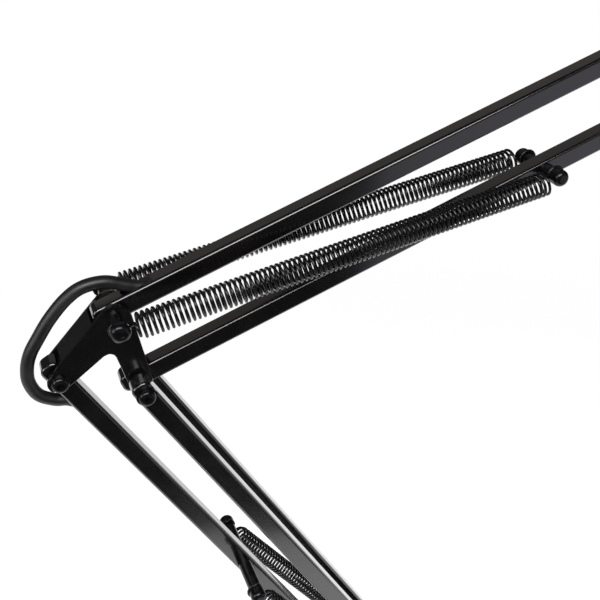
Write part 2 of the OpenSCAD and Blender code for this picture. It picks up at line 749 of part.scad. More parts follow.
module head_washers() color("#1d1d1f") {
    for (p = [head_apex, head_shared]) inner_washers(p);
}
module head_nuts() color("#2c2d30") {
    for (p = [head_apex, head_shared]) at(p) hex_nut(half_w);
}
module head_block() color("#1b1c1f") {
    at(head_axis) difference() {
        cube([head_block_len, head_block_w, head_block_h], center = true);
        cylinder(h = 40, r = fork_stem_r + slack, center = true);
    }
}
module head_connector_shell() color("#141416") {
    translate([head_apex.x + head_panel_x + panel_t, 0, head_apex.y + head_panel_z]) connector_shell(plug_shell_r);
}
module head_connector_insert() color("#101012") {
    translate([head_apex.x + head_panel_x + panel_t, 0, head_apex.y + head_panel_z]) difference() {
        union() {
            translate([8, 0, 0]) rotate([0, 90, 0]) cylinder(h = 2, r = plug_shell_r);
            translate([9, 0, 0]) rotate([0, 90, 0]) cylinder(h = socket_len - 11, r = plug_r - 0.2);
        }
        contact_ring(14, 20, 1.3);
    }
}
module head_cable() color("#1b1b1d") {
    panel_end = head_apex + [head_panel_x + panel_t + 8, head_panel_z];
    route_tube(concat(
        [for (a = [cable_in, 30.5, 27]) on_tube(head_apex, upper_angle, -a, 0)],
        [on_tube(head_apex, upper_angle, -18, 3.2)],
        [for (p = head_route) head_apex + p],
        [panel_end - [14, 0], panel_end - [7, 0], panel_end]
    ));
}

// Microphone mount: a fork that turns, a block that tilts and a knob that locks it
stem_top = head_axis.y + head_block_h / 2;
ear_y = tilt_w / 2 + 0.1;
module mic_fork() color("#1b1c1f") {
    top = head_axis.y - head_block_h / 2 - slack;
    translate([head_axis.x, 0, 0]) {
        translate([0, 0, top - 1]) cylinder(h = stem_top - top + 7, r = fork_stem_r);
        translate([0, 0, top - 1.5]) cylinder(h = 1.5, r = 8);
    }
    difference() {
        union() {
            translate([head_axis.x - 8, -ear_y - ear_t, top - 6]) cube([16, 2 * (ear_y + ear_t), 5]);
            for (s = [0:1]) mirror([0, s, 0]) at(tilt_axis) side_extrude(ear_y, ear_y + ear_t) {
                circle(8);
                translate([-8, 0]) square([16, top - 3 - tilt_axis.y]);
            }
        }
        at(tilt_axis) y_cylinder(-40, 40, 3 + slack);
    }
}
module mic_fork_nut() color("#8f9296") {
    translate([head_axis.x, 0, stem_top + slack]) {
        difference() {
            union() {
                cylinder(h = 0.9, r = half_gap - 0.4);
                translate([0, 0, 0.9]) cylinder(h = 4.5, r = half_gap - 0.6, $fn = 6);
            }
            translate([0, 0, -1]) cylinder(h = 10, r = fork_stem_r + slack / 2);
        }
    }
}
module mic_tilt_block() color("#1b1c1f") {
    stud_from = tilt_r + 3;
    at(tilt_axis) difference() {
        union() {
            y_cylinder(-tilt_w / 2, tilt_w / 2, 7.5);
            translate([0, -tilt_w / 2, -tilt_w / 2]) cube([tilt_r + 1, tilt_w, tilt_w]);
            translate([tilt_r, 0, 0]) rotate([0, 90, 0]) cylinder(h = 3.2, r = mic_thread_d / 2 + 2.5);
            translate([stud_from, 0, 0]) rotate([0, 90, 0]) cylinder(h = mic_thread_len, r = mic_thread_d / 2);
        }
        y_cylinder(-40, 40, 3 + slack);
    }
}
module tilt_knob() color("#141416") {
    outer = ear_y + ear_t;
    at(tilt_axis) {
        y_cylinder(-outer - 2, outer + 1.5, 3);
        mirror([0, 1, 0]) y_cylinder(-outer - 4, -outer - slack, 5);
        translate([0, -outer - slack, 0]) rotate([90, 0, 0]) {
            cylinder(h = 5, r = 7);
            difference() {
                translate([0, 0, 3]) cylinder(h = 11, r = 13);
                for (i = [0:5]) rotate([0, 0, 60 * i]) translate([15.5, 0, 2]) cylinder(h = 14, r = 5);
            }
        }
    }
}

// Balance springs: a hook round each anchor and curls between, as one tube
near_lead = 7;          // post to the first curl
far_lead = 8.2;         // last curl to the pin
coil_r = (spring_d - wire_d) / 2;
hook_r = (sleeve_r + 0.3 + wire_d / 2 + soft_gap) / cos(15);
curl_steps = 8;
function spring_path(a, b, near_shift = 0, far_shift = 0) =
    let (
        coil_a = a - [0, near_shift, 0], coil_b = b - [0, far_shift, 0], span = norm(coil_b - coil_a),
        along = (coil_b - coil_a) / span, side = unit(cross(along, [0, 1, 0])), depth = cross(side, along),
        body = span - near_lead - far_lead, n = spring_curls * curl_steps,
        hook = [for (i = [0:8]) let (t = 240 - 30 * i) a + hook_r * (cos(t + 180) * -along + sin(t + 180) * side)],
        coil = [
            for (i = [0:n]) let (t = 360 * i / curl_steps)
            coil_a + (near_lead + body * i / n) * along + coil_r * (cos(t) * side + sin(t) * depth)
        ],
        far = [for (i = [0:8]) let (t = 30 * i) b + hook_r * (cos(t) * -along + sin(t) * side)]
    )
    concat(hook, coil, far);
function least_gap(path, wire) = min([
    for (i = [0:2:len(path) - 1]) for (k = [i + 6:2:len(path) - 1]) norm(path[i] - path[k])
]) - wire;
upper_near = [apex.x, hook_in_near - upper_near_y, apex.y];
upper_far = [upper_anchor.x, hook_in_far - upper_far_y, upper_anchor.y];
lower_near = [base_shared.x, -lower_spring_y, base_shared.y];
lower_far = [lower_anchor.x, -lower_spring_y, lower_anchor.y];
module spring(path) {
    swept_tube(path, wire_d / 2, 6, unit(path[1] - path[0] + [0, 1, 0]));
}
upper_path = spring_path(upper_near, upper_far, hook_in_near, hook_in_far);
lower_path = spring_path(lower_near, lower_far);
module upper_spring_front() color("#2d2e31") {
    spring(upper_path);
}
module upper_spring_back() color("#2d2e31") {
    mirror([0, 1, 0]) spring(upper_path);
}
module lower_spring_front() color("#2d2e31") {
    spring(lower_path);
}
module lower_spring_back() color("#2d2e31") {
    mirror([0, 1, 0]) spring(lower_path);
}
echo(upper_spring_least_gap = least_gap(upper_path, wire_d));
echo(lower_spring_least_gap = least_gap(lower_path, wire_d));

clamp_frame();
jaw_pad();
swivel_socket();
socket_liner();
swivel_lock_knob();
clamp_pad();
clamp_pad_rubber();
clamp_screw();
tommy_bar();
tommy_bar_caps();
base_bracket();
swivel_spigot();
base_pivot_bolt();
base_spring_bolt();
base_sleeves();
base_washers();
base_nuts();
base_connector_shell();
base_connector_pins();
base_cable();
lower_inner_tube();
lower_inner_tube_caps();
lower_spring_pin();
lower_cable();
lower_front_tube();
lower_back_tube();
lower_outer_tube_caps();
elbow_bracket();
elbow_spring_bolt();
elbow_bolts();
elbow_sleeves();
elbow_washers();
elbow_nuts();
elbow_cable();
upper_top_tube();
upper_top_tube_caps();
cable_grommets();
upper_cable();
upper_bottom_tube();
upper_bottom_tube_caps();
upper_spring_pin();
head_bracket();
head_bolts();
head_sleeves();
head_washers();
head_nuts();
head_block();
head_connector_shell();
head_connector_insert();
head_cable();
mic_fork();
mic_fork_nut();
mic_tilt_block();
tilt_knob();
lower_spring_front();
lower_spring_back();
upper_spring_front();
upper_spring_back();
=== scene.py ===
import json
import math
import bmesh
import bpy
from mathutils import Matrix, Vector


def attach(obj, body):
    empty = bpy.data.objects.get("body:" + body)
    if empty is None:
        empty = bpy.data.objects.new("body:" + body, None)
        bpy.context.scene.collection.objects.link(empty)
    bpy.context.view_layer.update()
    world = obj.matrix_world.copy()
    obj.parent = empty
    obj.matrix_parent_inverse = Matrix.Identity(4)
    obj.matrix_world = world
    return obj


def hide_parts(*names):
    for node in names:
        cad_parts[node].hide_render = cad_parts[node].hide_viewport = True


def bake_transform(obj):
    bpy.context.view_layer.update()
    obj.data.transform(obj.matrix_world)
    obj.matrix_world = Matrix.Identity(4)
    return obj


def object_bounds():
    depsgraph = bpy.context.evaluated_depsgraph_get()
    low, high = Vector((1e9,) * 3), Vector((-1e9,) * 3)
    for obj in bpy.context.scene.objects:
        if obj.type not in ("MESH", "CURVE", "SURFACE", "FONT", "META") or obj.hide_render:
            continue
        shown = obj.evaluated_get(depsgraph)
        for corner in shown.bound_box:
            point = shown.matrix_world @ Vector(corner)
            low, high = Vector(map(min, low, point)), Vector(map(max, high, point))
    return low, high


# Looks of a spring balanced microphone arm, round the imported model. The pieces that show most are modelled
# again here, with rounded edges, springs with all their curls and the cable. The
# washers, sleeves, contacts and other small pieces keep their imported shape, and every node gets its finish.
mm = 0.001
past = 10  # how far a drill or cutter reaches past what it cuts, in mm
allRound = 60  # smoothing angle of wires and cables, which have no flat faces, in degrees
noiseReach = (0.3, 0.7)  # where nearly all values of a noise lie

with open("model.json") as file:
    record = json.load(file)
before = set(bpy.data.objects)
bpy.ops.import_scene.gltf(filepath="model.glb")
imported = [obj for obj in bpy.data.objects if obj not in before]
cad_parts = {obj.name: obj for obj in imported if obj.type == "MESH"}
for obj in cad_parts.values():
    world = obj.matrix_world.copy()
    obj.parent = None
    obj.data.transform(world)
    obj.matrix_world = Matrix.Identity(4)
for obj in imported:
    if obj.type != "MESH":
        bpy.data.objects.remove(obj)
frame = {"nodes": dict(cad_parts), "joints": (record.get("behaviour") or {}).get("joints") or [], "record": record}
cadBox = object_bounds()
nodes = frame["nodes"]
pivot = {j["name"]: Vector(j["pos_m"]) for j in frame["joints"] if "pos_m" in j}
baseLeft, baseShared = pivot["lower_arm"], pivot["lower_links"]
elbowLeft, elbowShared, elbowApex = pivot["elbow_level"], pivot["upper_link"], pivot["upper_arm"]
headApex = pivot["head_level"]
headShared = headApex + elbowShared - elbowApex
micTurn, micTilt = pivot["mic_turn"], pivot["mic_tilt"]
lowerAlong = (elbowLeft - baseLeft).normalized()
upperAlong = (headApex - elbowApex).normalized()
origin, alongX, alongY, alongZ = Vector((0, 0, 0)), Vector((1, 0, 0)), Vector((0, 1, 0)), Vector((0, 0, 1))
print("frame loaded:", len(nodes), "nodes")


def at(x, y, z):
    return Vector((x, y, z)) * mm


def sideways(along):  # direction in the arm's plane, a quarter turn up from along
    return Vector((-along.z, 0, along.x))


def onTube(start, along, distance, up):
    return start + along * distance * mm + sideways(along) * up * mm


def deselectAll():
    if bpy.context.object and bpy.context.object.mode == "EDIT":
        bpy.ops.object.mode_set(mode="OBJECT")
    bpy.ops.object.select_all(action="DESELECT")


def makeActive(obj):
    deselectAll()
    obj.select_set(True)
    bpy.context.view_layer.objects.active = obj


def startCube(centre, size, turn=0.0):  # turn is about Y, in radians
    deselectAll()
    bpy.ops.mesh.primitive_cube_add(size=1, location=centre, rotation=(0, turn, 0), scale=size)
    bpy.ops.object.transform_apply(location=True, rotation=True, scale=True)
    return bpy.context.object


def startCylinder(start, end, radius, sides=48):
    deselectAll()
    span = end - start
    bpy.ops.mesh.primitive_cylinder_add(
        vertices=sides, radius=radius * mm, depth=span.length, location=(start + end) / 2,
        rotation=span.to_track_quat("Z", "Y").to_euler())
    bpy.ops.object.transform_apply(location=True, rotation=True, scale=True)
    return bpy.context.object


def rod(place, axis, start, stop, radius, sides=48):  # start and stop in mm along the axis, from place
    return startCylinder(place + axis * start * mm, place + axis * stop * mm, radius, sides)


def bevelEdges(obj, wanted, width, segments):
    makeActive(obj)
    bpy.ops.object.mode_set(mode="EDIT")
    bpy.ops.mesh.select_mode(type="EDGE")
    bpy.ops.mesh.select_all(action="DESELECT")
    work = bmesh.from_edit_mesh(obj.data)
    for edge in work.edges:
        edge.select_set(wanted(edge))
    bmesh.update_edit_mesh(obj.data)
    bpy.ops.mesh.bevel(offset=width * mm, segments=segments, affect="EDGES")
    bpy.ops.object.mode_set(mode="OBJECT")


def isSharp(edge):
    return len(edge.link_faces) == 2 and edge.calc_face_angle(0) > 0.6


def runsAlong(direction):
    return lambda edge: abs((edge.verts[0].co - edge.verts[1].co).normalized().dot(direction)) > 0.9


def cutAway(obj, cutters):
    for cutter in cutters:
        makeActive(obj)
        tool = obj.modifiers.new("cut", "BOOLEAN")
        tool.operation = "DIFFERENCE"
        tool.object = cutter
        bpy.ops.object.modifier_apply(modifier=tool.name)
        bpy.data.objects.remove(cutter)
    return obj


def joined(pieces):
    deselectAll()
    for piece in pieces:
        piece.select_set(True)
    bpy.context.view_layer.objects.active = pieces[0]
    bpy.ops.object.join()
    return pieces[0]


def copied(obj, shift):
    twin = obj.copy()
    twin.data = obj.data.copy()
    bpy.context.scene.collection.objects.link(twin)
    twin.location = shift
    makeActive(twin)
    bpy.ops.object.transform_apply(location=True, rotation=True, scale=True)
    return twin


def turned(place, axis, start, stop, radius, rim=0.3, segments=3, sides=48, rims="both"):
    # a round piece with rounded rims, both or only the one at the stop
    obj = rod(place, axis, start, stop, radius, sides)

    def onRim(edge):
        mid = ((edge.verts[0].co + edge.verts[1].co) / 2 - place).dot(axis)
        return abs(mid - stop * mm) < 1e-6 or (rims == "both" and abs(mid - start * mm) < 1e-6)
    bevelEdges(obj, onRim, rim, segments)
    return obj


def box(low, high, rim=0.3, segments=2):  # corners in mm, edges rounded
    low, high = Vector(low) * mm, Vector(high) * mm
    obj = startCube((low + high) / 2, high - low)
    bevelEdges(obj, isSharp, rim, segments)
    return obj


def wireThrough(name, points, radius, roundness=4):  # a round wire or cable along a path
    deselectAll()
    line = bpy.data.curves.new(name, "CURVE")
    line.dimensions = "3D"
    line.bevel_depth = radius * mm
    line.bevel_resolution = roundness
    line.use_fill_caps = True
    run = line.splines.new("POLY")
    run.points.add(len(points) - 1)
    for knot, place in zip(run.points, points):
        knot.co = (*place, 1)
    obj = bpy.data.objects.new(name, line)
    bpy.context.scene.collection.objects.link(obj)
    makeActive(obj)
    bpy.ops.object.convert(target="MESH")
    return bpy.context.object


def flatPlate(name, outline, place, halfThick):  # outline in mm, drawn in the arm's plane
    deselectAll()
    shape = bpy.data.curves.new(name, "CURVE")
    shape.dimensions = "2D"
    shape.fill_mode = "BOTH"
    shape.extrude = halfThick * mm
    edge = shape.splines.new("POLY")
    edge.points.add(len(outline) - 1)
    edge.use_cyclic_u = True
    for knot, (x, z) in zip(edge.points, outline):
        knot.co = (x * mm, z * mm, 0, 1)
    obj = bpy.data.objects.new(name, shape)
    bpy.context.scene.collection.objects.link(obj)
    obj.location = place
    obj.rotation_euler = (math.pi / 2, 0, 0)
    makeActive(obj)
    bpy.ops.object.convert(target="MESH")
    bpy.ops.object.transform_apply(location=True, rotation=True, scale=True)
    bpy.ops.object.mode_set(mode="EDIT")
    bpy.ops.mesh.select_all(action="SELECT")
    bpy.ops.mesh.remove_doubles(threshold=0.00002)
    bpy.ops.mesh.normals_make_consistent(inside=False)
    bpy.ops.object.mode_set(mode="OBJECT")
    return bpy.context.object


def arc(centre, radius, start, stop, steps):  # start and stop in degrees
    turns = [math.radians(start + (stop - start) * i / steps) for i in range(steps + 1)]
    return [(centre[0] + radius * math.cos(t), centre[1] + radius * math.sin(t)) for t in turns]


def smoothPath(points, steps):  # even curve through given points
    path = []
    last = len(points) - 1
    for i in range(last):
        a, b, c, d = points[max(i - 1, 0)], points[i], points[i + 1], points[min(i + 2, last)]
        for k in range(steps):
            t = k / steps
            path.append(0.5 * (2 * b + (c - a) * t + (2 * a - 5 * b + 4 * c - d) * t * t
                               + (3 * b - a - 3 * c + d) * t ** 3))
    return path + [points[-1]]


# Finishes
def colour(hexCode):  # sRGB hex to the linear colour that Blender works in
    parts = [int(hexCode[i:i + 2], 16) / 255 for i in (1, 3, 5)]
    return tuple(c / 12.92 if c <= 0.04045 else ((c + 0.055) / 1.055) ** 2.4 for c in parts) + (1.0,)


def addNode(tree, kind, inputs=None, **settings):
    node = tree.nodes.new(kind)
    for key, value in settings.items():
        setattr(node, key, value)
    for key, value in (inputs or {}).items():
        if isinstance(value, bpy.types.NodeSocket):
            tree.links.new(value, node.inputs[key])
        else:
            node.inputs[key].default_value = value
    return node


def startFinish(name, **shader):
    finish = bpy.data.materials.new(name)
    finish.use_nodes = True
    tree = finish.node_tree
    tree.nodes.clear()
    surface = addNode(tree, "ShaderNodeBsdfPrincipled", shader)
    addNode(tree, "ShaderNodeOutputMaterial", {"Surface": surface.outputs[0]})
    return finish, tree, surface


def grainNoise(tree, sizeMm, detail, roughness=0.5):  # noise whose features are sizeMm across
    place = addNode(tree, "ShaderNodeTexCoord")
    noise = addNode(tree, "ShaderNodeTexNoise", {
        "Vector": place.outputs["Object"], "Scale": 1 / (sizeMm * mm), "Detail": detail,
        "Roughness": roughness})
    return noise.outputs[0]


def makeFinish(name, shader, grain, spread, tones, rough=None, peel=None, peelDepth=None):
    finish, tree, surface = startFinish(name, **shader)
    cloud = grainNoise(tree, *grain)
    share = addNode(tree, "ShaderNodeMapRange", {
        "Value": cloud, "From Min": spread[0], "From Max": spread[1]})
    tone = addNode(tree, "ShaderNodeMix", {
        "Factor": share.outputs[0], "A": colour(tones[0]), "B": colour(tones[1])}, data_type="RGBA")
    tree.links.new(tone.outputs[2], surface.inputs["Base Color"])
    if rough:
        reach = addNode(tree, "ShaderNodeMapRange", {
            "Value": cloud, "From Min": noiseReach[0], "From Max": noiseReach[1],
            "To Min": rough[0], "To Max": rough[1]})
        tree.links.new(reach.outputs[0], surface.inputs["Roughness"])
    if peel:
        bump = addNode(tree, "ShaderNodeBump", {
            "Height": grainNoise(tree, *peel), "Distance": peelDepth * mm, "Strength": 1.0})
        tree.links.new(bump.outputs[0], surface.inputs["Normal"])
    return finish


# grain and peel give a noise's size in mm and its detail, peelDepth is in mm, spread is the part of the grain
# over which one tone turns into the other, and rough the lowest and highest roughness
finishLooks = {
    # Black powder coat on steel: deep black under a glossy skin, with the faint orange peel of baked powder
    "powder_coat": {
        "name": "black powder coat", "grain": (18.0, 2.0), "spread": (0.35, 0.65),
        "tones": ("#080708", "#0e0c0d"), "rough": (0.18, 0.23), "peel": (1.1, 2.0), "peelDepth": 0.006,
        "shader": {"Roughness": 0.24, "IOR": 1.5, "Coat Weight": 1.0, "Coat Roughness": 0.1,
                   "Coat IOR": 1.5}},
    # Black zinc on turned steel: darker than bare steel, with a tight bright highlight
    "black_steel": {
        "name": "black zinc plated steel", "grain": (2.5, 3.0), "spread": (0.35, 0.65),
        "tones": ("#161618", "#242427"), "rough": (0.14, 0.24),
        "shader": {"Metallic": 0.6, "Roughness": 0.18}},
    # Bright zinc on steel: pale and slightly cloudy
    "zinc_steel": {
        "name": "bright zinc plated steel", "grain": (3.0, 3.0), "spread": (0.3, 0.7),
        "tones": ("#9b9da1", "#b9bbc0"), "rough": (0.24, 0.36),
        "shader": {"Metallic": 1.0, "Roughness": 0.3}},
    # Hard drawn spring wire, oil blackened: dark metal with a fine grain
    "spring_wire": {
        "name": "oiled spring wire", "grain": (0.6, 2.0), "spread": (0.35, 0.65),
        "tones": ("#161617", "#242426"), "rough": (0.1, 0.16),
        "shader": {"Metallic": 0.5, "Roughness": 0.13}},
    # Extruded PVC cable jacket: satin, faintly grained
    "cable_jacket": {
        "name": "satin cable jacket", "grain": (6.0, 3.0), "spread": (0.3, 0.7),
        "tones": ("#131214", "#1b1a1d"), "rough": (0.38, 0.5), "peel": (0.5, 2.0), "peelDepth": 0.01,
        "shader": {"Roughness": 0.42, "IOR": 1.52}},
    # Moulded rubber pad: matt and slightly dusty
    "pad_rubber": {
        "name": "moulded rubber", "grain": (0.8, 4.0), "spread": (0.3, 0.7), "tones": ("#232325", "#2f2f31"),
        "shader": {"Roughness": 0.8, "IOR": 1.5}, "peel": (0.8, 4.0), "peelDepth": 0.05},
    # Black nylon for washers and the swivel's liner: smooth, a little waxy
    "nylon": {
        "name": "black nylon", "grain": (2.0, 3.0), "spread": (0.3, 0.7), "tones": ("#161617", "#1e1e20"),
        "shader": {"Roughness": 0.4, "IOR": 1.53}},
    # Spark textured black ABS for knobs, sockets and caps
    "knob_plastic": {
        "name": "textured black ABS", "grain": (0.45, 3.0, 0.6), "spread": (0.3, 0.7),
        "tones": ("#0e0e0f", "#161617"), "shader": {"Roughness": 0.5, "IOR": 1.53}, "rough": (0.44, 0.58),
        "peel": (0.45, 3.0, 0.6), "peelDepth": 0.03},
    # Silver plated brass contacts
    "contact_metal": {
        "name": "silver plated contacts", "grain": (1.0, 2.0), "spread": (0.3, 0.7),
        "tones": ("#c4bfb2", "#d6d2c8"), "shader": {"Metallic": 1.0, "Roughness": 0.2}},
}
finishes = {slot: makeFinish(**look) for slot, look in finishLooks.items()}
for part in frame["record"]["subparts"]:
    obj = nodes[part["node"]]
    obj.data.materials.clear()
    obj.data.materials.append(finishes[part["material_slot"]])
print("finishes made:", len(finishes))


def finishPiece(obj, name, finish, body, *instead, angle=30):
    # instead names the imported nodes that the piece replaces
    obj.name = name
    obj.data.name = name
    obj.data.materials.clear()
    obj.data.materials.append(finishes[finish])
    makeActive(obj)
    bpy.ops.object.shade_smooth_by_angle(angle=math.radians(angle))
    if angle < allRound:  # flat faces keep flat shading, and only the rounded edges carry the turn
        even = obj.modifiers.new("even normals", "WEIGHTED_NORMAL")
        even.keep_sharp = True
        bpy.ops.object.modifier_apply(modifier=even.name)
    if body:
        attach(obj, body)
    if instead:
        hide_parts(*instead)
    return obj


# Tubes, with the slots that let the cable in and out. Sizes in mm
tube = {"width": 10.0, "edgeRadius": 1.5, "endRadius": 3.8, "innerReach": 9.2, "outerReach": 6.8,
        "outerY": 15.05, "slotFrom": 7.0, "slotTo": 25.0, "elbowSlotTo": 21.5, "slotWidth": 6.8,
        "slotDepth": 8.0, "slotCorner": 3.0, "slotRim": 0.35}


def addTube(start, end, reach, sideShift=0.0):
    along = (end - start).normalized()
    turn = -math.atan2(along.z, along.x)
    length = (end - start).length + 2 * reach * mm
    middle = (start + end) / 2 + at(0, sideShift, 0)
    obj = startCube(middle, (length, tube["width"] * mm, tube["width"] * mm), turn)
    bevelEdges(obj, runsAlong(alongY), tube["endRadius"], 8)
    bevelEdges(obj, isSharp, tube["edgeRadius"], 4)
    return obj


def cutSlot(obj, end, inward, up, slotTo=tube["slotTo"]):
    # inward runs from the tube's end pivot into the tube, and up points to the slotted side
    turn = -math.atan2(inward.z, inward.x)
    length, depth = slotTo - tube["slotFrom"], tube["slotDepth"]
    middle = (end + inward * (tube["slotFrom"] + length / 2) * mm
              + up * ((tube["width"] - depth + past) / 2) * mm)
    cutter = startCube(middle, (length * mm, tube["slotWidth"] * mm, (depth + past) * mm), turn)
    bevelEdges(cutter, runsAlong(up), tube["slotCorner"], 6)
    cutAway(obj, [cutter])

    def onMouth(edge):
        level = all(abs((v.co - end).dot(up) - tube["width"] / 2 * mm) < 2e-5 for v in edge.verts)
        along = [(v.co - end).dot(inward) / mm for v in edge.verts]
        near = all(tube["slotFrom"] - 0.01 < a < slotTo + 0.01 for a in along)
        inside = all(abs(v.co.y) < tube["slotWidth"] / 2 * mm + 1e-5 for v in edge.verts)
        return level and near and inside and isSharp(edge)
    bevelEdges(obj, onMouth, tube["slotRim"], 2)
    return obj


lowUp, topUp = sideways(lowerAlong), sideways(upperAlong)
lowerInner = addTube(baseLeft, elbowLeft, tube["innerReach"])
cutSlot(lowerInner, baseLeft, lowerAlong, -lowUp)
cutSlot(lowerInner, elbowLeft, -lowerAlong, lowUp)
upperTop = addTube(elbowApex, headApex, tube["innerReach"])
cutSlot(upperTop, elbowApex, upperAlong, topUp, tube["elbowSlotTo"])
cutSlot(upperTop, headApex, -upperAlong, topUp)
upperBottom = addTube(elbowShared, headShared, tube["innerReach"])
lowerFront = addTube(baseShared, elbowShared, tube["outerReach"], -tube["outerY"])
lowerBack = addTube(baseShared, elbowShared, tube["outerReach"], tube["outerY"])
for obj, name, body, instead in (
        (lowerInner, "lowerInnerTube", "lower_inner", ("lower_inner_tube", "lower_inner_tube_caps")),
        (upperTop, "upperTopTube", "upper_top", ("upper_top_tube", "upper_top_tube_caps")),
        (upperBottom, "upperBottomTube", "upper_bottom", ("upper_bottom_tube", "upper_bottom_tube_caps")),
        (lowerFront, "lowerFrontTube", "lower_outer", ("lower_front_tube", "lower_outer_tube_caps")),
        (lowerBack, "lowerBackTube", "lower_outer", ("lower_back_tube",))):
    finishPiece(obj, name, "powder_coat", body, *instead, angle=40)
print("tubes made")

# Elbow bracket, folded from one sheet. Places in mm from the apex pivot, angles in degrees: the left and
# shared pivots, the rounds of the outline, the notch between the legs, and how far from the ends of the
# folded leg its web starts
elbow = {"left": (-27.9, -29.7), "shared": (9.0, -38.0), "lobe": 5.7, "leftLobe": 4.7, "leftEnd": (225, 250),
         "webOffset": 5.8, "webFrom": 8.87, "topRound": 7.7, "topCentre": (0.5, -2.4), "rightSlope": 101,
         "notchRound": 3.5, "notchLeft": 36.4, "notchRight": 105, "halfWidth": 8.7, "sheet": 2.0,
         "foldRadius": 1.6, "edgeRadius": 0.45}


def crossing(p, u, q, v):  # where the line through p along u meets the line through q along v
    k = ((q[0] - p[0]) * v[1] - (q[1] - p[1]) * v[0]) / (u[0] * v[1] - u[1] * v[0])
    return (p[0] + u[0] * k, p[1] + u[1] * k)


def heading(degrees):
    return (math.cos(math.radians(degrees)), math.sin(math.radians(degrees)))


def elbowOutline():
    left, shared = elbow["left"], elbow["shared"]
    lobe, leftLobe, notchRound = elbow["lobe"], elbow["leftLobe"], elbow["notchRound"]
    fold = math.degrees(math.atan2(-left[1], -left[0]))
    down, back = heading(elbow["notchLeft"] - 90), heading(elbow["notchRight"] + 90)
    leftEdge = [left[i] + (leftLobe + notchRound) * down[i] for i in (0, 1)]
    rightEdge = [shared[i] + (lobe + notchRound) * back[i] for i in (0, 1)]
    notch = crossing(leftEdge, heading(elbow["notchLeft"]), rightEdge, heading(elbow["notchRight"]))
    web = heading(fold + 90)
    return (arc(shared, lobe, elbow["notchRight"] + 90, 360 + elbow["rightSlope"] - 90, 14)
            + arc(elbow["topCentre"], elbow["topRound"], elbow["rightSlope"] - 90, 90 + fold, 14)
            + [(elbow["webOffset"] * web[0], elbow["webOffset"] * web[1])]
            + arc(left, elbow["webOffset"], 90 + fold, elbow["leftEnd"][0], 6)
            + arc(left, leftLobe, elbow["leftEnd"][1], 270 + elbow["notchLeft"], 6)
            + arc(notch, notchRound, 90 + elbow["notchLeft"], elbow["notchRight"] - 90, 10))


def addElbowBracket():
    obj = flatPlate("elbowBracket", elbowOutline(), elbowApex, elbow["halfWidth"])
    legLine = Vector((elbow["left"][0], 0, elbow["left"][1]))
    leg = legLine.length
    legLine.normalize()
    outward = Vector((legLine.z, 0, -legLine.x))  # away from the notch, square to the fold
    half = elbow["halfWidth"] * mm

    def onFold(edge):
        a, b = (v.co - elbowApex for v in edge.verts)
        return (abs(abs(a.y) - half) < 1e-5 and abs(a.y - b.y) < 1e-5 and (a - b).length > 0.01
                and all(abs(p.dot(outward) - elbow["webOffset"] * mm) < 4e-5 for p in (a, b)))
    bevelEdges(obj, onFold, elbow["foldRadius"], 5)
    bevelEdges(obj, isSharp, elbow["edgeRadius"], 2)
    turn = math.atan2(-legLine.z, legLine.x)
    gap = 2 * (elbow["halfWidth"] - elbow["sheet"]) * mm
    wide, depth = 4 * past, 8 * past  # of the cutters that open the bracket between its plates
    centre = (elbowApex + legLine * leg / 2 * mm
              + outward * (elbow["webOffset"] - elbow["sheet"] - depth / 2) * mm)
    cutters = [startCube(centre, (3 * leg * mm, gap, depth * mm), turn)]
    for end in (elbow["webFrom"] - wide / 2, leg - elbow["webFrom"] + wide / 2):
        cutters.append(startCube(elbowApex + legLine * end * mm, (wide * mm, gap, wide * mm), turn))
    return cutAway(obj, cutters)


finishPiece(addElbowBracket(), "elbowBracket", "powder_coat", "elbow", "elbow_bracket")
print("elbow bracket made")

# Screws, nuts, domed posts and pins, which all lie across the arm. Sizes in mm. flanged is where the washers
# of the elbow's wide pivot end. A post is a screw with a domed head whose neck carries a spring's hook
screw = {"head": {"width": 8.4, "height": 2.9, "round": 1.9, "socket": 1.95, "deep": 1.7, "steps": 6},
         "socketSlack": 0.1, "socketRim": 0.18, "socketPast": 3, "shank": 4.0, "shankRim": 0.25,
         "inHead": 0.4, "nutWidth": 8.1, "nutHeight": 3.2, "nutEdge": 0.3, "nutGap": 0.04, "tailOut": 0.6,
         "flanged": 21.15}
post = {"neckEnd": 22.0, "lowerNeckEnd": 27.4, "shankRim": 0.2, "inHead": 0.2, "inNut": 2.0, "nutBore": 2.2,
        "nutGap": 0.05,
        "head": {"width": 9.6, "height": 4.0, "round": 2.6, "socket": 1.4, "deep": 0.7, "steps": 6},
        "nut": {"width": 9.6, "height": 4.0, "round": 2.6, "steps": 7}}
pin = {"radius": 3.0, "collar": 3.7, "collarRim": 0.25, "besideTube": 0.03, "besideHook": 0.8, "inCap": 0.1,
       "upperNeckEnd": 13.4, "cap": {"width": 8.6, "height": 6.4, "round": 2.7, "steps": 7}}


def addDomedEnd(place, face, size, side):  # side is -1 for the near end and 1 for the far one
    return turned(place, alongY, side * face, side * (face + size["height"]), size["width"] / 2,
                  size["round"], size["steps"], 48, "end")


def addScrewHead(place, face, size):  # round head on the near side, with a hexagon socket
    outer, reach = face + size["height"], (size["socket"] + screw["socketSlack"]) * mm
    head = addDomedEnd(place, face, size, -1)
    cutAway(head, [rod(place, alongY, size["deep"] - outer, -outer - screw["socketPast"], size["socket"], 6)])

    def onSocket(edge):
        return all(abs(v.co.y + outer * mm) < 1e-5
                   and math.hypot(v.co.x - place.x, v.co.z - place.z) < reach for v in edge.verts)
    bevelEdges(head, onSocket, screw["socketRim"], 2)
    return head


def addBolt(place, face):
    shank = turned(place, alongY, -face - screw["inHead"], face + screw["nutHeight"] + screw["tailOut"],
                   screw["shank"] / 2, screw["shankRim"], 2, 32, "end")
    return joined([addScrewHead(place, face, screw["head"]), shank])


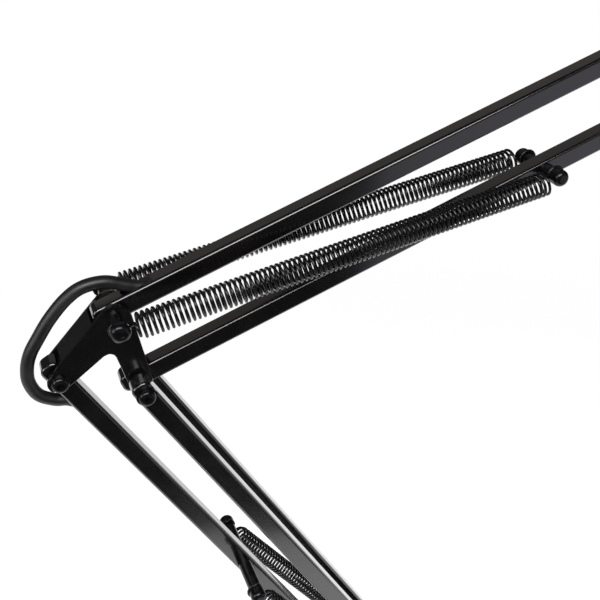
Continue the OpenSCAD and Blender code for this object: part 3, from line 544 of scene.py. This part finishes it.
def addNut(place, face):
    nut = rod(place, alongY, face, face + screw["nutHeight"], screw["nutWidth"] / 2, 6)
    bevelEdges(nut, isSharp, screw["nutEdge"], 2)
    bore = rod(place, alongY, face - past, face + past, screw["shank"] / 2 + screw["nutGap"], 32)
    return cutAway(nut, [bore])


def addPost(place, neckEnd):
    shank = turned(place, alongY, -neckEnd - post["inHead"], neckEnd + post["inNut"], screw["shank"] / 2,
                   post["shankRim"], 2, 32, "end")
    return joined([addScrewHead(place, neckEnd, post["head"]), shank])


def addDomedNut(place, neckEnd):
    nut = addDomedEnd(place, neckEnd, post["nut"], 1)
    bore = rod(place, alongY, 0, neckEnd + post["nutBore"], screw["shank"] / 2 + post["nutGap"], 32)
    return cutAway(nut, [bore])


def addSpringPin(place, neckEnd):  # pin through a tube, with a collar beside the tube and a cap on each side
    pieces = [rod(place, alongY, -neckEnd - pin["inCap"], neckEnd + pin["inCap"], pin["radius"], 40)]
    start, stop = tube["width"] / 2 + pin["besideTube"], neckEnd - spring["wire"] - pin["besideHook"]
    for side in (-1, 1):
        pieces.append(turned(place, alongY, side * start, side * stop, pin["collar"], pin["collarRim"], 2, 40,
                             "end"))
        pieces.append(addDomedEnd(place, neckEnd, pin["cap"], side))
    return joined(pieces)


oneBolt, oneNut = addBolt(elbowLeft, elbow["halfWidth"]), addNut(elbowLeft, elbow["halfWidth"])
baseBolt, baseNut = (copied(obj, baseLeft - elbowLeft) for obj in (oneBolt, oneNut))
headBolts, headNuts = (joined([copied(obj, place - elbowLeft) for place in (headApex, headShared)])
                       for obj in (oneBolt, oneNut))
elbowBolts = joined([oneBolt, addBolt(elbowShared, screw["flanged"])])
elbowNuts = joined([oneNut, addNut(elbowShared, screw["flanged"]), addDomedNut(elbowApex, post["neckEnd"])])
baseNuts = joined([baseNut, addDomedNut(baseShared, post["lowerNeckEnd"])])
elbowPost, basePost = addPost(elbowApex, post["neckEnd"]), addPost(baseShared, post["lowerNeckEnd"])
for obj, name, body, node in (
        (elbowBolts, "elbowBolts", "elbow", "elbow_bolts"),
        (baseBolt, "basePivotBolt", "base", "base_pivot_bolt"),
        (headBolts, "headBolts", "head", "head_bolts"), (headNuts, "headNuts", "head", "head_nuts"),
        (elbowPost, "elbowSpringBolt", "elbow", "elbow_spring_bolt"),
        (basePost, "baseSpringBolt", "base", "base_spring_bolt"),
        (elbowNuts, "elbowNuts", "elbow", "elbow_nuts"), (baseNuts, "baseNuts", "base", "base_nuts")):
    finishPiece(obj, name, "black_steel", body, node)

# Springs, wound with all their curls. Sizes in mm, places off the arm's plane along Y. A hook is part of a
# circle, hookTurn degrees long. The first and last curls close in on the hooks over closeOver of a turn
spring = {"upperOutside": 12.8, "lowerOutside": 11.5, "wire": 1.5, "curls": 86, "steps": 22, "nearLead": 7.0,
          "farLead": {"Front": 8.2, "Back": 5.6}, "hook": 4.5, "hookTurn": 240, "hookSteps": 12,
          "closeOver": 0.6, "closedShare": 0.35, "anchorAt": 230, "upperNearY": {"Front": 22.8, "Back": 18.4},
          "upperFarY": 17.0, "nearHookY": 21.2, "farHookY": 12.6, "lowerY": 26.6}


def springPath(near, far, coilNear, coilFar, farLead, outside):
    span = (coilFar - coilNear).length
    along = (coilFar - coilNear) / span
    side = along.cross(alongY).normalized()
    depth = side.cross(along)
    coil = (outside - spring["wire"]) / 2 * mm
    body = span - (spring["nearLead"] + farLead) * mm
    hook = spring["hook"] * mm
    steps = spring["hookSteps"]
    hookTurns = [math.radians(spring["hookTurn"] * i / steps) for i in range(steps + 1)]
    path = [near + hook * (math.cos(t) * along - math.sin(t) * side) for t in reversed(hookTurns)]
    total = spring["curls"] * spring["steps"]
    for i in range(total + 1):
        turn = 2 * math.pi * i / spring["steps"]
        ends = min(i, total - i) / (spring["closeOver"] * spring["steps"])
        swell = coil * min(1.0, spring["closedShare"] + (1 - spring["closedShare"]) * ends)
        path.append(coilNear + along * (spring["nearLead"] * mm + body * i / total)
                    + swell * (math.cos(turn) * side - math.sin(turn) * depth))
    return path + [far + hook * (-math.cos(t) * along + math.sin(t) * side) for t in hookTurns]


def addSpring(stage, label, path):
    name, node = stage + "Spring" + label, stage + "_spring_" + label.lower()
    obj = wireThrough(name, path, spring["wire"] / 2, 2)
    finishPiece(obj, name, "spring_wire", None, node, angle=allRound)
    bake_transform(obj)


upperFar = elbowShared + upperAlong * spring["anchorAt"] * mm
lowerFar = baseLeft + lowerAlong * spring["anchorAt"] * mm
for label, sign in (("Front", -1), ("Back", 1)):
    out = Vector((0, sign * mm, 0))
    coilNear, coilFar = elbowApex + out * spring["upperNearY"][label], upperFar + out * spring["upperFarY"]
    near, far = elbowApex + out * spring["nearHookY"], upperFar + out * spring["farHookY"]
    path = springPath(near, far, coilNear, coilFar, spring["farLead"][label], spring["upperOutside"])
    addSpring("upper", label, path)
    near, far = baseShared + out * spring["lowerY"], lowerFar + out * spring["lowerY"]
    path = springPath(near, far, near, far, spring["farLead"]["Front"], spring["lowerOutside"])
    addSpring("lower", label, path)
upperPin, lowerPin = addSpringPin(upperFar, pin["upperNeckEnd"]), addSpringPin(lowerFar, post["lowerNeckEnd"])
finishPiece(upperPin, "upperSpringPin", "black_steel", "upper_bottom", "upper_spring_pin")
finishPiece(lowerPin, "lowerSpringPin", "black_steel", "lower_inner", "lower_spring_pin")
print("screws, posts and springs made")

# The built-in cable: loops that bend between the pieces, and straight runs inside the tubes. Places in mm:
# the loops from the pivot that they pass, and their ends along the tube and up from its middle
cable = {"radius": 3.15, "inTube": 34, "panelX": 34, "panelZ": 57.5, "headPanelX": 24, "headPanelZ": 15,
         "panel": 2, "inSocket": 8, "steps": 8,
         "topEnd": [(34, 0), (30.5, 0), (27, 0), (21.5, 0.6), (14.5, 4.6)],
         "elbow": [(7, 11), (-2, 14), (-12, 13), (-20, 8), (-28, -0.5), (-34, -9), (-38.4, -16), (-40.8, -23),
                   (-41.25, -31), (-38, -39), (-31, -43.5)],
         "lowEnd": [(-14.5, 5.2), (-21, 1.6), (-27, 0), (-30.5, 0), (-34, 0)],
         "baseEnd": [(34, 0), (30.5, 0), (27, 0), (18, -3.1)],
         "base": [(2.2, 13.2), (11, 8.5), (15.5, 0), (18, -9), (25, -16)],
         "headEnd": [(-34, 0), (-30.5, 0), (-27, 0), (-18, 3.2)], "head": [(-9, 6), (0, 12.5), (9, 15)]}


def inside(place, along, pairs):
    return [onTube(place, along, distance, up) for distance, up in pairs]


def beside(place, pairs):
    return [place + at(x, 0, z) for x, z in pairs]


def inPanel(x, z):  # straight run through a panel into its socket
    return [at(x - 14, 0, z), at(x - 7, 0, z), at(x, 0, z)]


def addLoop(name, path, bodyA, bodyB, *instead):
    piece = wireThrough(name, path, cable["radius"], 8)
    finishPiece(piece, name, "cable_jacket", None, *instead, angle=allRound)
    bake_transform(piece)


elbowPath = smoothPath(inside(elbowApex, upperAlong, cable["topEnd"]) + beside(elbowApex, cable["elbow"])
                       + inside(elbowLeft, lowerAlong, cable["lowEnd"]), cable["steps"])
middle = len(elbowPath) // 2
addLoop("elbowCableUpper", elbowPath[:middle + 1], "upper_top", "elbow", "elbow_cable")
addLoop("elbowCableLower", elbowPath[middle:], "elbow", "lower_inner")
baseSocket = Vector((cable["panelX"] + cable["panel"], 0, cable["panelZ"]))
headSocket = headApex / mm + Vector((cable["headPanelX"] + cable["panel"], 0, cable["headPanelZ"]))
basePath = smoothPath(inside(baseLeft, lowerAlong, cable["baseEnd"]) + beside(baseLeft, cable["base"])
                      + inPanel(baseSocket.x + cable["inSocket"], baseSocket.z), cable["steps"])
addLoop("baseCable", basePath, "lower_inner", "base", "base_cable")
headPath = smoothPath(inside(headApex, upperAlong, cable["headEnd"]) + beside(headApex, cable["head"])
                      + inPanel(headSocket.x + cable["inSocket"], headSocket.z), cable["steps"])
addLoop("headCable", headPath, "upper_top", "head", "head_cable")
for name, start, end, body, node in (("lowerCable", baseLeft, elbowLeft, "lower_inner", "lower_cable"),
                                     ("upperCable", elbowApex, headApex, "upper_top", "upper_cable")):
    along = (end - start).normalized() * cable["inTube"] * mm
    run = startCylinder(start + along, end - along, cable["radius"], 36)
    finishPiece(run, name, "cable_jacket", body, node, angle=allRound)
print("cable made")

# Desk clamp and swivel, from the desk's face at the origin. Sizes in mm. A row of a round piece gives its
# start, stop and radius, and then the radius of its rims, their steps, the sides and which rims are round. A
# row of a bore gives its start, stop, radius and sides, and the jaw pad's grooves their first x, end and step
clamp = {"width": 32, "thick": 8, "jaw": 54, "open": 62, "top": 9.5, "edge": 0.8, "tipRound": 2,
         "backRound": 5, "insideRound": 3, "bossRadius": 9, "bossDrop": 8, "bossRim": 0.8, "bossIn": 1,
         "screwBore": 5.05, "seatZ": 3}
jawPad = {"low": (-23, -15, 0), "high": (26, 15, 1.5), "rim": 0.4, "groove": (0.9, 40, 0.8),
          "grooves": (-19, 25, 4)}
swivel = {"barrel": (9.5, 43.5, 10.5, 0.7, 3, 64), "seat": (3.5, 10.5, 8.5, 64), "seatGap": 0.03,
          "lockZ": 28.2, "lockBoss": (-4, -15.5, 5.5, 0.6, 3, 48, "end"), "bore": (5.5, 60, 7.03, 64),
          "lockBore": (0, -30, 3.05, 32)}
lockKnob = {"grip": (-17, -29, 8), "rim": 0.8, "lobes": 8, "scoopAt": 9.2, "scoopRadius": 2.2,
            "rods": [(-29, -29.6, 4.4, 0.3, 2, 40, "end"), (-18, -5.15, 3, 0.4, 2, 32, "end")]}
foot = {"rods": [(-32, -34.5, 17, 0.7, 3, 72), (-34, -41, 8, 0.6, 3, 48, "end")],
        "ballBore": (-38.5, -50, 4.55, 40), "rubber": (-30, -32, 16, 0.5, 3, 72)}
clampScrew = {"thread": (-115, -45.5, 5, 1.5), "head": (-114, -128, 7.5, 0.9, 3, 48),
              "tip": (-45, -38.5, 3.3, 0.2, 2, 32, "end")}
tommyBar = {"z": -121, "bar": (-30, 30, 3, 0.4, 3, 40), "bore": (-20, 20, 3.05, 40),
            "cap": (25, 36.5, 4.6, 2.6, 6, 40, "end")}


def clampOutline():
    right, low, top = clamp["jaw"] / 2, -clamp["open"], clamp["top"]
    spine = -right - clamp["thick"]
    tip, back, inner = clamp["tipRound"], clamp["backRound"], clamp["insideRound"]
    bottom, rubber, innerX = low - clamp["thick"], jawPad["high"][2], spine + clamp["thick"] + inner
    return ([(right, rubber)] + arc((right - tip, top - tip), tip, 0, 90, 4)
            + arc((spine + back, top - back), back, 90, 180, 8)
            + arc((spine + back, bottom + back), back, 180, 270, 8)
            + arc((right - tip, bottom + tip), tip, 270, 360, 4) + [(right, low)]
            + arc((innerX, low + inner), inner, 270, 180, 6)
            + arc((innerX, rubber - inner), inner, 180, 90, 6))


def axes(along):  # two directions square to along
    side = along.orthogonal().normalized()
    return side, along.cross(side)


thread = {"ridge": 0.42, "root": 0.45, "rim": 0.5, "runIn": 0.8, "steps": 18}  # as shares of the pitch


def threaded(place, axis, start, stop, radius, pitch):  # a ridge wound on a core, from start up to stop
    side, depth = axes(axis)
    ridge, runIn, steps = thread["ridge"] * pitch, thread["runIn"] * pitch, thread["steps"]
    core = turned(place, axis, start, stop, radius - thread["root"] * pitch, thread["rim"] * pitch, 2, 36)
    length = stop - start - 2 * runIn
    count = int(length / pitch * steps)
    path = []
    for i in range(count + 1):
        turn = 2 * math.pi * i / steps
        out = (radius - ridge) * mm * (math.cos(turn) * side + math.sin(turn) * depth)
        path.append(place + axis * (start + runIn + length * i / count) * mm + out)
    return joined([core, wireThrough("ridge", path, ridge, 0)])


def addKnob(place, size):  # a scooped grip across the arm, with its turned cap, hub and stem
    start, stop, radius = size["grip"]
    over = 2  # how far the scoops run past both faces
    knob = turned(place, alongY, start, stop, radius, size["rim"], 4, 96)
    side, depth = axes(-alongY)
    scoops = []
    for i in range(size["lobes"]):
        turn = 2 * math.pi * i / size["lobes"]
        out = size["scoopAt"] * mm * (math.cos(turn) * side + math.sin(turn) * depth)
        scoops.append(rod(place + out, alongY, start + over, stop - over, size["scoopRadius"], 32))
    cutAway(knob, scoops)
    bevelEdges(knob, lambda e: isSharp(e) and e.calc_face_angle(0) > 1.0, 0.25, 2)
    return joined([knob] + [turned(place, alongY, *row) for row in size["rods"]])


def roundThePlate(edge):  # sharp edges that run round a flat piece, not those through its thickness
    return isSharp(edge) and abs(edge.verts[0].co.y - edge.verts[1].co.y) < 1e-6


bossTop = -clamp["open"] - clamp["thick"]
bossEnd = bossTop - clamp["bossDrop"]


def screwBore():
    return rod(origin, alongZ, bossEnd - past, -clamp["open"] + past, clamp["screwBore"])


frameBody = flatPlate("clampFrame", clampOutline(), origin, clamp["width"] / 2)
bevelEdges(frameBody, roundThePlate, clamp["edge"], 3)
seatBore = rod(origin, alongZ, clamp["seatZ"], clamp["top"] + past, swivel["seat"][2] + swivel["seatGap"])
cutAway(frameBody, [seatBore, screwBore()])
boss = turned(origin, alongZ, bossTop + clamp["bossIn"], bossEnd, clamp["bossRadius"], clamp["bossRim"], 3,
              64, "end")
cutAway(boss, [screwBore()])
finishPiece(joined([frameBody, boss]), "clampFrame", "powder_coat", "clamp", "clamp_frame")

pad = box(jawPad["low"], jawPad["high"], jawPad["rim"], 2)
grooveSize = [side * mm for side in jawPad["groove"]]
grooves = [startCube(at(x, 0, 0), grooveSize) for x in range(*jawPad["grooves"])]
finishPiece(cutAway(pad, grooves), "jawPad", "pad_rubber", "clamp", "jaw_pad")

lockPlace, barPlace = at(0, 0, swivel["lockZ"]), at(0, 0, tommyBar["z"])
socket = joined([turned(origin, alongZ, *swivel["barrel"]), rod(origin, alongZ, *swivel["seat"]),
                 turned(lockPlace, alongY, *swivel["lockBoss"])])
cutAway(socket, [rod(origin, alongZ, *swivel["bore"]), rod(lockPlace, alongY, *swivel["lockBore"])])
finishPiece(socket, "swivelSocket", "powder_coat", "clamp", "swivel_socket")
finishPiece(addKnob(lockPlace, lockKnob), "swivelLockKnob", "knob_plastic", "lock_knob", "swivel_lock_knob")

footPlate = joined([turned(origin, alongZ, *row) for row in foot["rods"]])
cutAway(footPlate, [rod(origin, alongZ, *foot["ballBore"])])
finishPiece(footPlate, "clampPad", "zinc_steel", "clamp_pad", "clamp_pad")
footRubber = turned(origin, alongZ, *foot["rubber"])
finishPiece(footRubber, "clampPadRubber", "pad_rubber", "clamp_pad", "clamp_pad_rubber")

screwHead = turned(origin, alongZ, *clampScrew["head"])
cutAway(screwHead, [rod(barPlace, alongY, *tommyBar["bore"])])
screwPieces = [threaded(origin, alongZ, *clampScrew["thread"]), screwHead,
               turned(origin, alongZ, *clampScrew["tip"])]
finishPiece(joined(screwPieces), "clampScrew", "zinc_steel", "clamp_screw", "clamp_screw")
finishPiece(turned(barPlace, alongY, *tommyBar["bar"]), "tommyBar", "zinc_steel", "tommy_bar", "tommy_bar")
barCaps = joined([turned(barPlace, alongY * side, *tommyBar["cap"]) for side in (-1, 1)])
finishPiece(barCaps, "tommyBarCaps", "knob_plastic", "tommy_bar", "tommy_bar_caps")
print("clamp made")

# Base and head brackets, of two plates and a panel with its cable socket. Sizes in mm
plates = {"half": 8.7, "sheet": 2.0, "edge": 0.35, "baseRound": 8, "sharedRound": 7, "step": 5,
          "floorZ": 47.5, "spigotBore": 4, "headRound": 5.7, "blockX": 44.5, "blockHalf": 10,
          "cornerRound": 4, "panelDrop": 6, "panelLow": -4, "panelHalf": 14, "cableHole": 3.55}
shell = {"flange": (3, 13), "flangeRim": 0.5, "barrel": (1, 26, 12, 0.8, 3, 64, "end"), "hollow": (8, 31),
         "throat": (-2, 12, 3.25, 40), "screwAt": 9.8, "screw": (2.5, 4.5, 2.4, 0.8, 4, 32, "end"),
         "crossAt": 4.6, "cross": ((1.2, 3, 0.6), (1.2, 0.6, 3))}


def pairOfPlates(name, outline, place):
    middle = at(0, plates["half"] - plates["sheet"] / 2, 0)
    pair = [flatPlate(name, outline, place + middle * side, plates["sheet"] / 2) for side in (-1, 1)]
    for plate in pair:
        bevelEdges(plate, isSharp, plates["edge"], 2)
    return pair


def panelAt(x, z):  # upright plate with the hole for the cable
    half = plates["panelHalf"]
    panel = box((x, -half, z - half), (x + plates["sheet"], half, z + half), plates["edge"], 2)
    return cutAway(panel, [rod(at(x, 0, z), alongX, -past, past, plates["cableHole"], 40)])


left, shared, panelX = baseLeft / mm, baseShared / mm, cable["panelX"]
leftX, panelEnd = left.x - plates["baseRound"], panelX + cable["panel"]
half, high = plates["half"], plates["floorZ"]
low = high - plates["sheet"]
baseOutline = (arc((left.x, left.z), plates["baseRound"], 150, 60, 8)
               + arc((shared.x, shared.z), plates["sharedRound"], 60, 0, 6)
               + [(panelEnd, shared.z - plates["step"]), (panelEnd, low), (leftX, low), (leftX, left.z)])
baseFloor = box((leftX, -half, low), (panelEnd, half, high), plates["edge"], 2)
cutAway(baseFloor, [rod(at(0, 0, low), alongZ, -past, past, plates["spigotBore"], 40)])
basePieces = pairOfPlates("baseBracket", baseOutline, origin) + [baseFloor, panelAt(panelX, cable["panelZ"])]
finishPiece(joined(basePieces), "baseBracket", "powder_coat", "base", "base_bracket")

drop, corner = (headShared - headApex) / mm, plates["cornerRound"]
cornerX, panelEnd = drop.x + plates["blockX"] - corner, cable["headPanelX"] + cable["panel"]
high, low = drop.z + plates["blockHalf"], drop.z - plates["blockHalf"]
headOutline = (arc((0, 0), plates["headRound"], 190, 110, 6)
               + [(panelEnd, cable["headPanelZ"] - plates["panelDrop"]), (panelEnd, plates["panelLow"]),
                  (cornerX, high)]
               + arc((cornerX, high - corner), corner, 90, 0, 4)
               + arc((cornerX, low + corner), corner, 0, -90, 4)
               + arc((drop.x, drop.z), plates["headRound"], 270, 190, 6))
headPanel = panelAt(headSocket.x - cable["panel"], headSocket.z)
headPieces = pairOfPlates("headBracket", headOutline, headApex) + [headPanel]
finishPiece(joined(headPieces), "headBracket", "powder_coat", "head", "head_bracket")


def addSocketShell(name, corner, bore, body, node):
    place, x, z = corner * mm, corner.x, corner.z
    thick, half = shell["flange"]
    flange = box((x, -half, z - half), (x + thick, half, z + half), shell["flangeRim"], 2)
    barrel = turned(place, alongX, *shell["barrel"])
    cutAway(barrel, [rod(place, alongX, *shell["hollow"], bore, 64), rod(place, alongX, *shell["throat"])])
    cutAway(flange, [rod(place, alongX, *shell["throat"])])
    heads = []
    for side in (-1, 1):
        screwPlace = place + at(0, shell["screwAt"] * side, shell["screwAt"] * side)
        head = turned(screwPlace, alongX, *shell["screw"])
        heads.append(cutAway(head, [startCube(screwPlace + at(shell["crossAt"], 0, 0), at(*size))
                                    for size in shell["cross"]]))
    finishPiece(joined([barrel, flange] + heads), name, "knob_plastic", body, node)


addSocketShell("baseSocket", baseSocket, 8.1, "base", "base_connector_shell")
addSocketShell("headSocket", headSocket, 9.6, "head", "head_connector_shell")
print("brackets made")

# Microphone mount: block, fork, nut, tilting block with its threaded stud, and knob. Sizes in mm, from the
# fork's axis in the middle of the block or from the tilting axis. Rows of round pieces as at the clamp
block = {"half": (8.5, 6.65, 10), "rim": 0.4, "bore": (-20, 20, 4.05, 40)}
fork = {"top": -10.05, "half": 8, "earY": 6.1, "ear": 5.0, "earIn": 3, "earRim": 0.4,
        "bridge": (-16.05, -11.05), "bridgeRim": 0.5, "stem": (-11.25, 16, 4, 0.4, 2, 40, "end"),
        "collar": (-11.55, -10.05, 8, 0.3, 2, 48)}
forkNut = {"nut": (10.95, 15.45, 6.1, 6), "nutRim": 0.4, "washer": (10.05, 11.0, 6.3, 0.15, 2, 48),
           "bore": (8, 19, 4.03, 40)}
studRadius = 15.875 / 2  # of the 5/8 inch thread
tilt = {"half": 6, "reach": 17, "rim": 0.6, "barrel": (-6, 6, 7.5, 0.4, 2, 56), "bore": (-20, 20, 3.05, 40),
        "shoulder": (16, 19.2, studRadius + 2.5, 0.4, 2, 64), "stud": (19, 32, studRadius, 0.94)}
tiltKnob = {"grip": (-14.1, -25.1, 13), "rim": 1.2, "lobes": 6, "scoopAt": 15.5, "scoopRadius": 5,
            "rods": [(-11.15, -16.1, 7, 0.4, 2, 48), (-25.1, -25.7, 6, 0.4, 2, 48, "end"),
                     (-15.1, 12.6, 3, 0.2, 2, 40, "end"), (11.15, 15.1, 5, 0.8, 3, 40)]}
turnPlace, tiltPlace = Vector((micTurn.x, 0, micTurn.z)), Vector((micTilt.x, 0, micTilt.z))


def boxAt(place, low, high, rim):  # corners in mm from place
    x, z = place.x / mm, place.z / mm
    return box((x + low[0], low[1], z + low[2]), (x + high[0], high[1], z + high[2]), rim, 2)


headBlock = boxAt(turnPlace, [-s for s in block["half"]], block["half"], block["rim"])
cutAway(headBlock, [rod(turnPlace, alongZ, *block["bore"])])
finishPiece(headBlock, "headBlock", "powder_coat", "head", "head_block")

earTop = fork["top"] - fork["earIn"] + (turnPlace - tiltPlace).z / mm
earOutline = arc((0, 0), fork["half"], 180, 360, 24) + [(fork["half"], earTop), (-fork["half"], earTop)]
earEnd = turnPlace.z + (fork["top"] - fork["earIn"] - 1) * mm
pieces = []
for side in (-1, 1):
    earPlace = tiltPlace + at(0, side * (fork["earY"] + fork["ear"] / 2), 0)
    ear = flatPlate("ear", earOutline, earPlace, fork["ear"] / 2)
    cutAway(ear, [rod(tiltPlace, alongY, *tilt["bore"])])
    bevelEdges(ear, lambda e: isSharp(e) and min(v.co.z for v in e.verts) < earEnd, fork["earRim"], 2)
    pieces.append(ear)
half, outer, (low, high) = fork["half"], fork["earY"] + fork["ear"], fork["bridge"]
bridge = boxAt(turnPlace, (-half, -outer, low), (half, outer, high), fork["bridgeRim"])
pieces = [bridge] + [turned(turnPlace, alongZ, *fork[key]) for key in ("stem", "collar")] + pieces
finishPiece(joined(pieces), "micFork", "powder_coat", "mic_fork", "mic_fork")

nut, washer = rod(turnPlace, alongZ, *forkNut["nut"]), turned(turnPlace, alongZ, *forkNut["washer"])
bevelEdges(nut, isSharp, forkNut["nutRim"], 2)
for piece in (nut, washer):
    cutAway(piece, [rod(turnPlace, alongZ, *forkNut["bore"])])
finishPiece(joined([nut, washer]), "micForkNut", "zinc_steel", "mic_fork", "mic_fork_nut")

barrel, half = turned(tiltPlace, alongY, *tilt["barrel"]), tilt["half"]
arm = boxAt(tiltPlace, (0, -half, -half), (tilt["reach"], half, half), tilt["rim"])
for piece in (barrel, arm):
    cutAway(piece, [rod(tiltPlace, alongY, *tilt["bore"])])
shoulder = turned(tiltPlace, alongX, *tilt["shoulder"])
finishPiece(joined([barrel, arm, shoulder]), "micTiltBlock", "powder_coat", "mic_tilt", "mic_tilt_block")
finishPiece(threaded(tiltPlace, alongX, *tilt["stud"]), "micStud", "zinc_steel", "mic_tilt")
finishPiece(addKnob(tiltPlace, tiltKnob), "tiltKnob", "knob_plastic", "tilt_knob", "tilt_knob")
print("microphone mount made")

# Stage, light and camera. The camera's place is in mm from the elbow's apex pivot, the rest in metres, watts
# and degrees
view = {"place": (-43.7, -364.3, 204.0), "azimuth": 20.56, "elevation": 29.26, "lens": 53.53, "sensor": 36.0}
floorLook = {"width": 8.0, "front": 0.45, "back": 3.2, "shadowFrom": 0.45, "whiteFrom": 1.3, "glow": 0.72,
             "paper": "#e9e9e9", "below": 0.0005}
surroundings = 0.04  # level of the dark studio round the stage, which light and reflections see
lamps = (  # name, place, target, width, depth, power and tint
    ("key softbox", (-0.42, -1.2, 1.62), (-0.15, 0, 0.45), 1.5, 0.8, 30, "#ffffff"),
    ("rear softbox", (0.1, 2.2, 1.87), (0, 0, 0.5), 2.3, 2.0, 1.9, "#fff4ec"),
    ("left softbox", (-1.65, -0.55, 0.95), (-0.2, 0, 0.45), 1.3, 0.9, 12, "#ffffff"),
    ("right fill", (1.1, -1.05, 0.1), (0.1, 0, 0.5), 1.2, 1.0, 2.2, "#f6f2ff"))


def addStage():  # a paper floor that fades to plain white away from the arm, and keeps the shadow near it
    deselectAll()
    middle = (0, (floorLook["back"] - floorLook["front"]) / 2, cadBox[0][2] - floorLook["below"])
    bpy.ops.mesh.primitive_plane_add(size=1, location=middle)
    floor = bpy.context.object
    floor.scale = (floorLook["width"], floorLook["front"] + floorLook["back"], 1)
    bpy.ops.object.transform_apply(location=True, scale=True)
    floor.name = "floor"
    paper, tree, surface = startFinish("white paper floor", **{
        "Roughness": 0.9, "Base Color": colour(floorLook["paper"])})
    path = addNode(tree, "ShaderNodeLightPath")
    place = addNode(tree, "ShaderNodeTexCoord")
    away = addNode(tree, "ShaderNodeVectorMath", {0: place.outputs["Object"]}, operation="LENGTH")
    fade = addNode(tree, "ShaderNodeMapRange", {
        "Value": away.outputs["Value"], "From Min": floorLook["shadowFrom"],
        "From Max": floorLook["whiteFrom"]}, interpolation_type="SMOOTHSTEP")
    glow = addNode(tree, "ShaderNodeEmission", {"Color": (1, 1, 1, 1), "Strength": floorLook["glow"]})
    white = addNode(tree, "ShaderNodeEmission", {"Color": (1, 1, 1, 1), "Strength": 1.0})
    lit = addNode(tree, "ShaderNodeAddShader", {0: surface.outputs[0], 1: glow.outputs[0]})
    shown = addNode(tree, "ShaderNodeMixShader", {0: fade.outputs[0], 1: lit.outputs[0], 2: white.outputs[0]})
    seen = addNode(tree, "ShaderNodeMath", {
        0: path.outputs["Is Camera Ray"], 1: path.outputs["Is Glossy Ray"]}, operation="MAXIMUM")
    pick = addNode(tree, "ShaderNodeMixShader", {
        0: seen.outputs[0], 1: surface.outputs[0], 2: shown.outputs[0]})
    out = next(n for n in tree.nodes if n.type == "OUTPUT_MATERIAL")
    tree.links.new(pick.outputs[0], out.inputs["Surface"])
    floor.data.materials.append(paper)


def addLamp(name, place, target, wide, deep, power, tint):
    lamp = bpy.data.lights.new(name, "AREA")
    lamp.shape = "RECTANGLE"
    lamp.size, lamp.size_y = wide, deep
    lamp.energy = power
    lamp.color = colour(tint)[:3]
    obj = bpy.data.objects.new(name, lamp)
    bpy.context.scene.collection.objects.link(obj)
    obj.location = place
    obj.rotation_euler = (Vector(target) - Vector(place)).to_track_quat("-Z", "Y").to_euler()


def addSky():  # white to the camera, dark to everything else
    sky = bpy.data.worlds.new("studio")
    sky.use_nodes = True
    bpy.context.scene.world = sky
    tree = sky.node_tree
    tree.nodes.clear()
    rays = addNode(tree, "ShaderNodeLightPath")
    level = addNode(tree, "ShaderNodeMapRange", {
        "Value": rays.outputs["Is Camera Ray"], "To Min": surroundings, "To Max": 1.0})
    air = addNode(tree, "ShaderNodeBackground", {"Color": (1, 1, 1, 1), "Strength": level.outputs[0]})
    addNode(tree, "ShaderNodeOutputWorld", {"Surface": air.outputs[0]})


addStage()
for lamp in lamps:
    addLamp(*lamp)
addSky()
lens = bpy.data.cameras.new("camera")
lens.lens, lens.sensor_width, lens.clip_start = view["lens"], view["sensor"], 0.01
camera = bpy.data.objects.new("camera", lens)
bpy.context.scene.collection.objects.link(camera)
camera.location = elbowApex + Vector(view["place"]) * mm
camera.rotation_euler = (math.radians(90 - view["elevation"]), 0, -math.radians(view["azimuth"]))
bpy.context.scene.camera = camera
bpy.context.scene.view_settings.view_transform = "Standard"
print("stage, light and camera set")
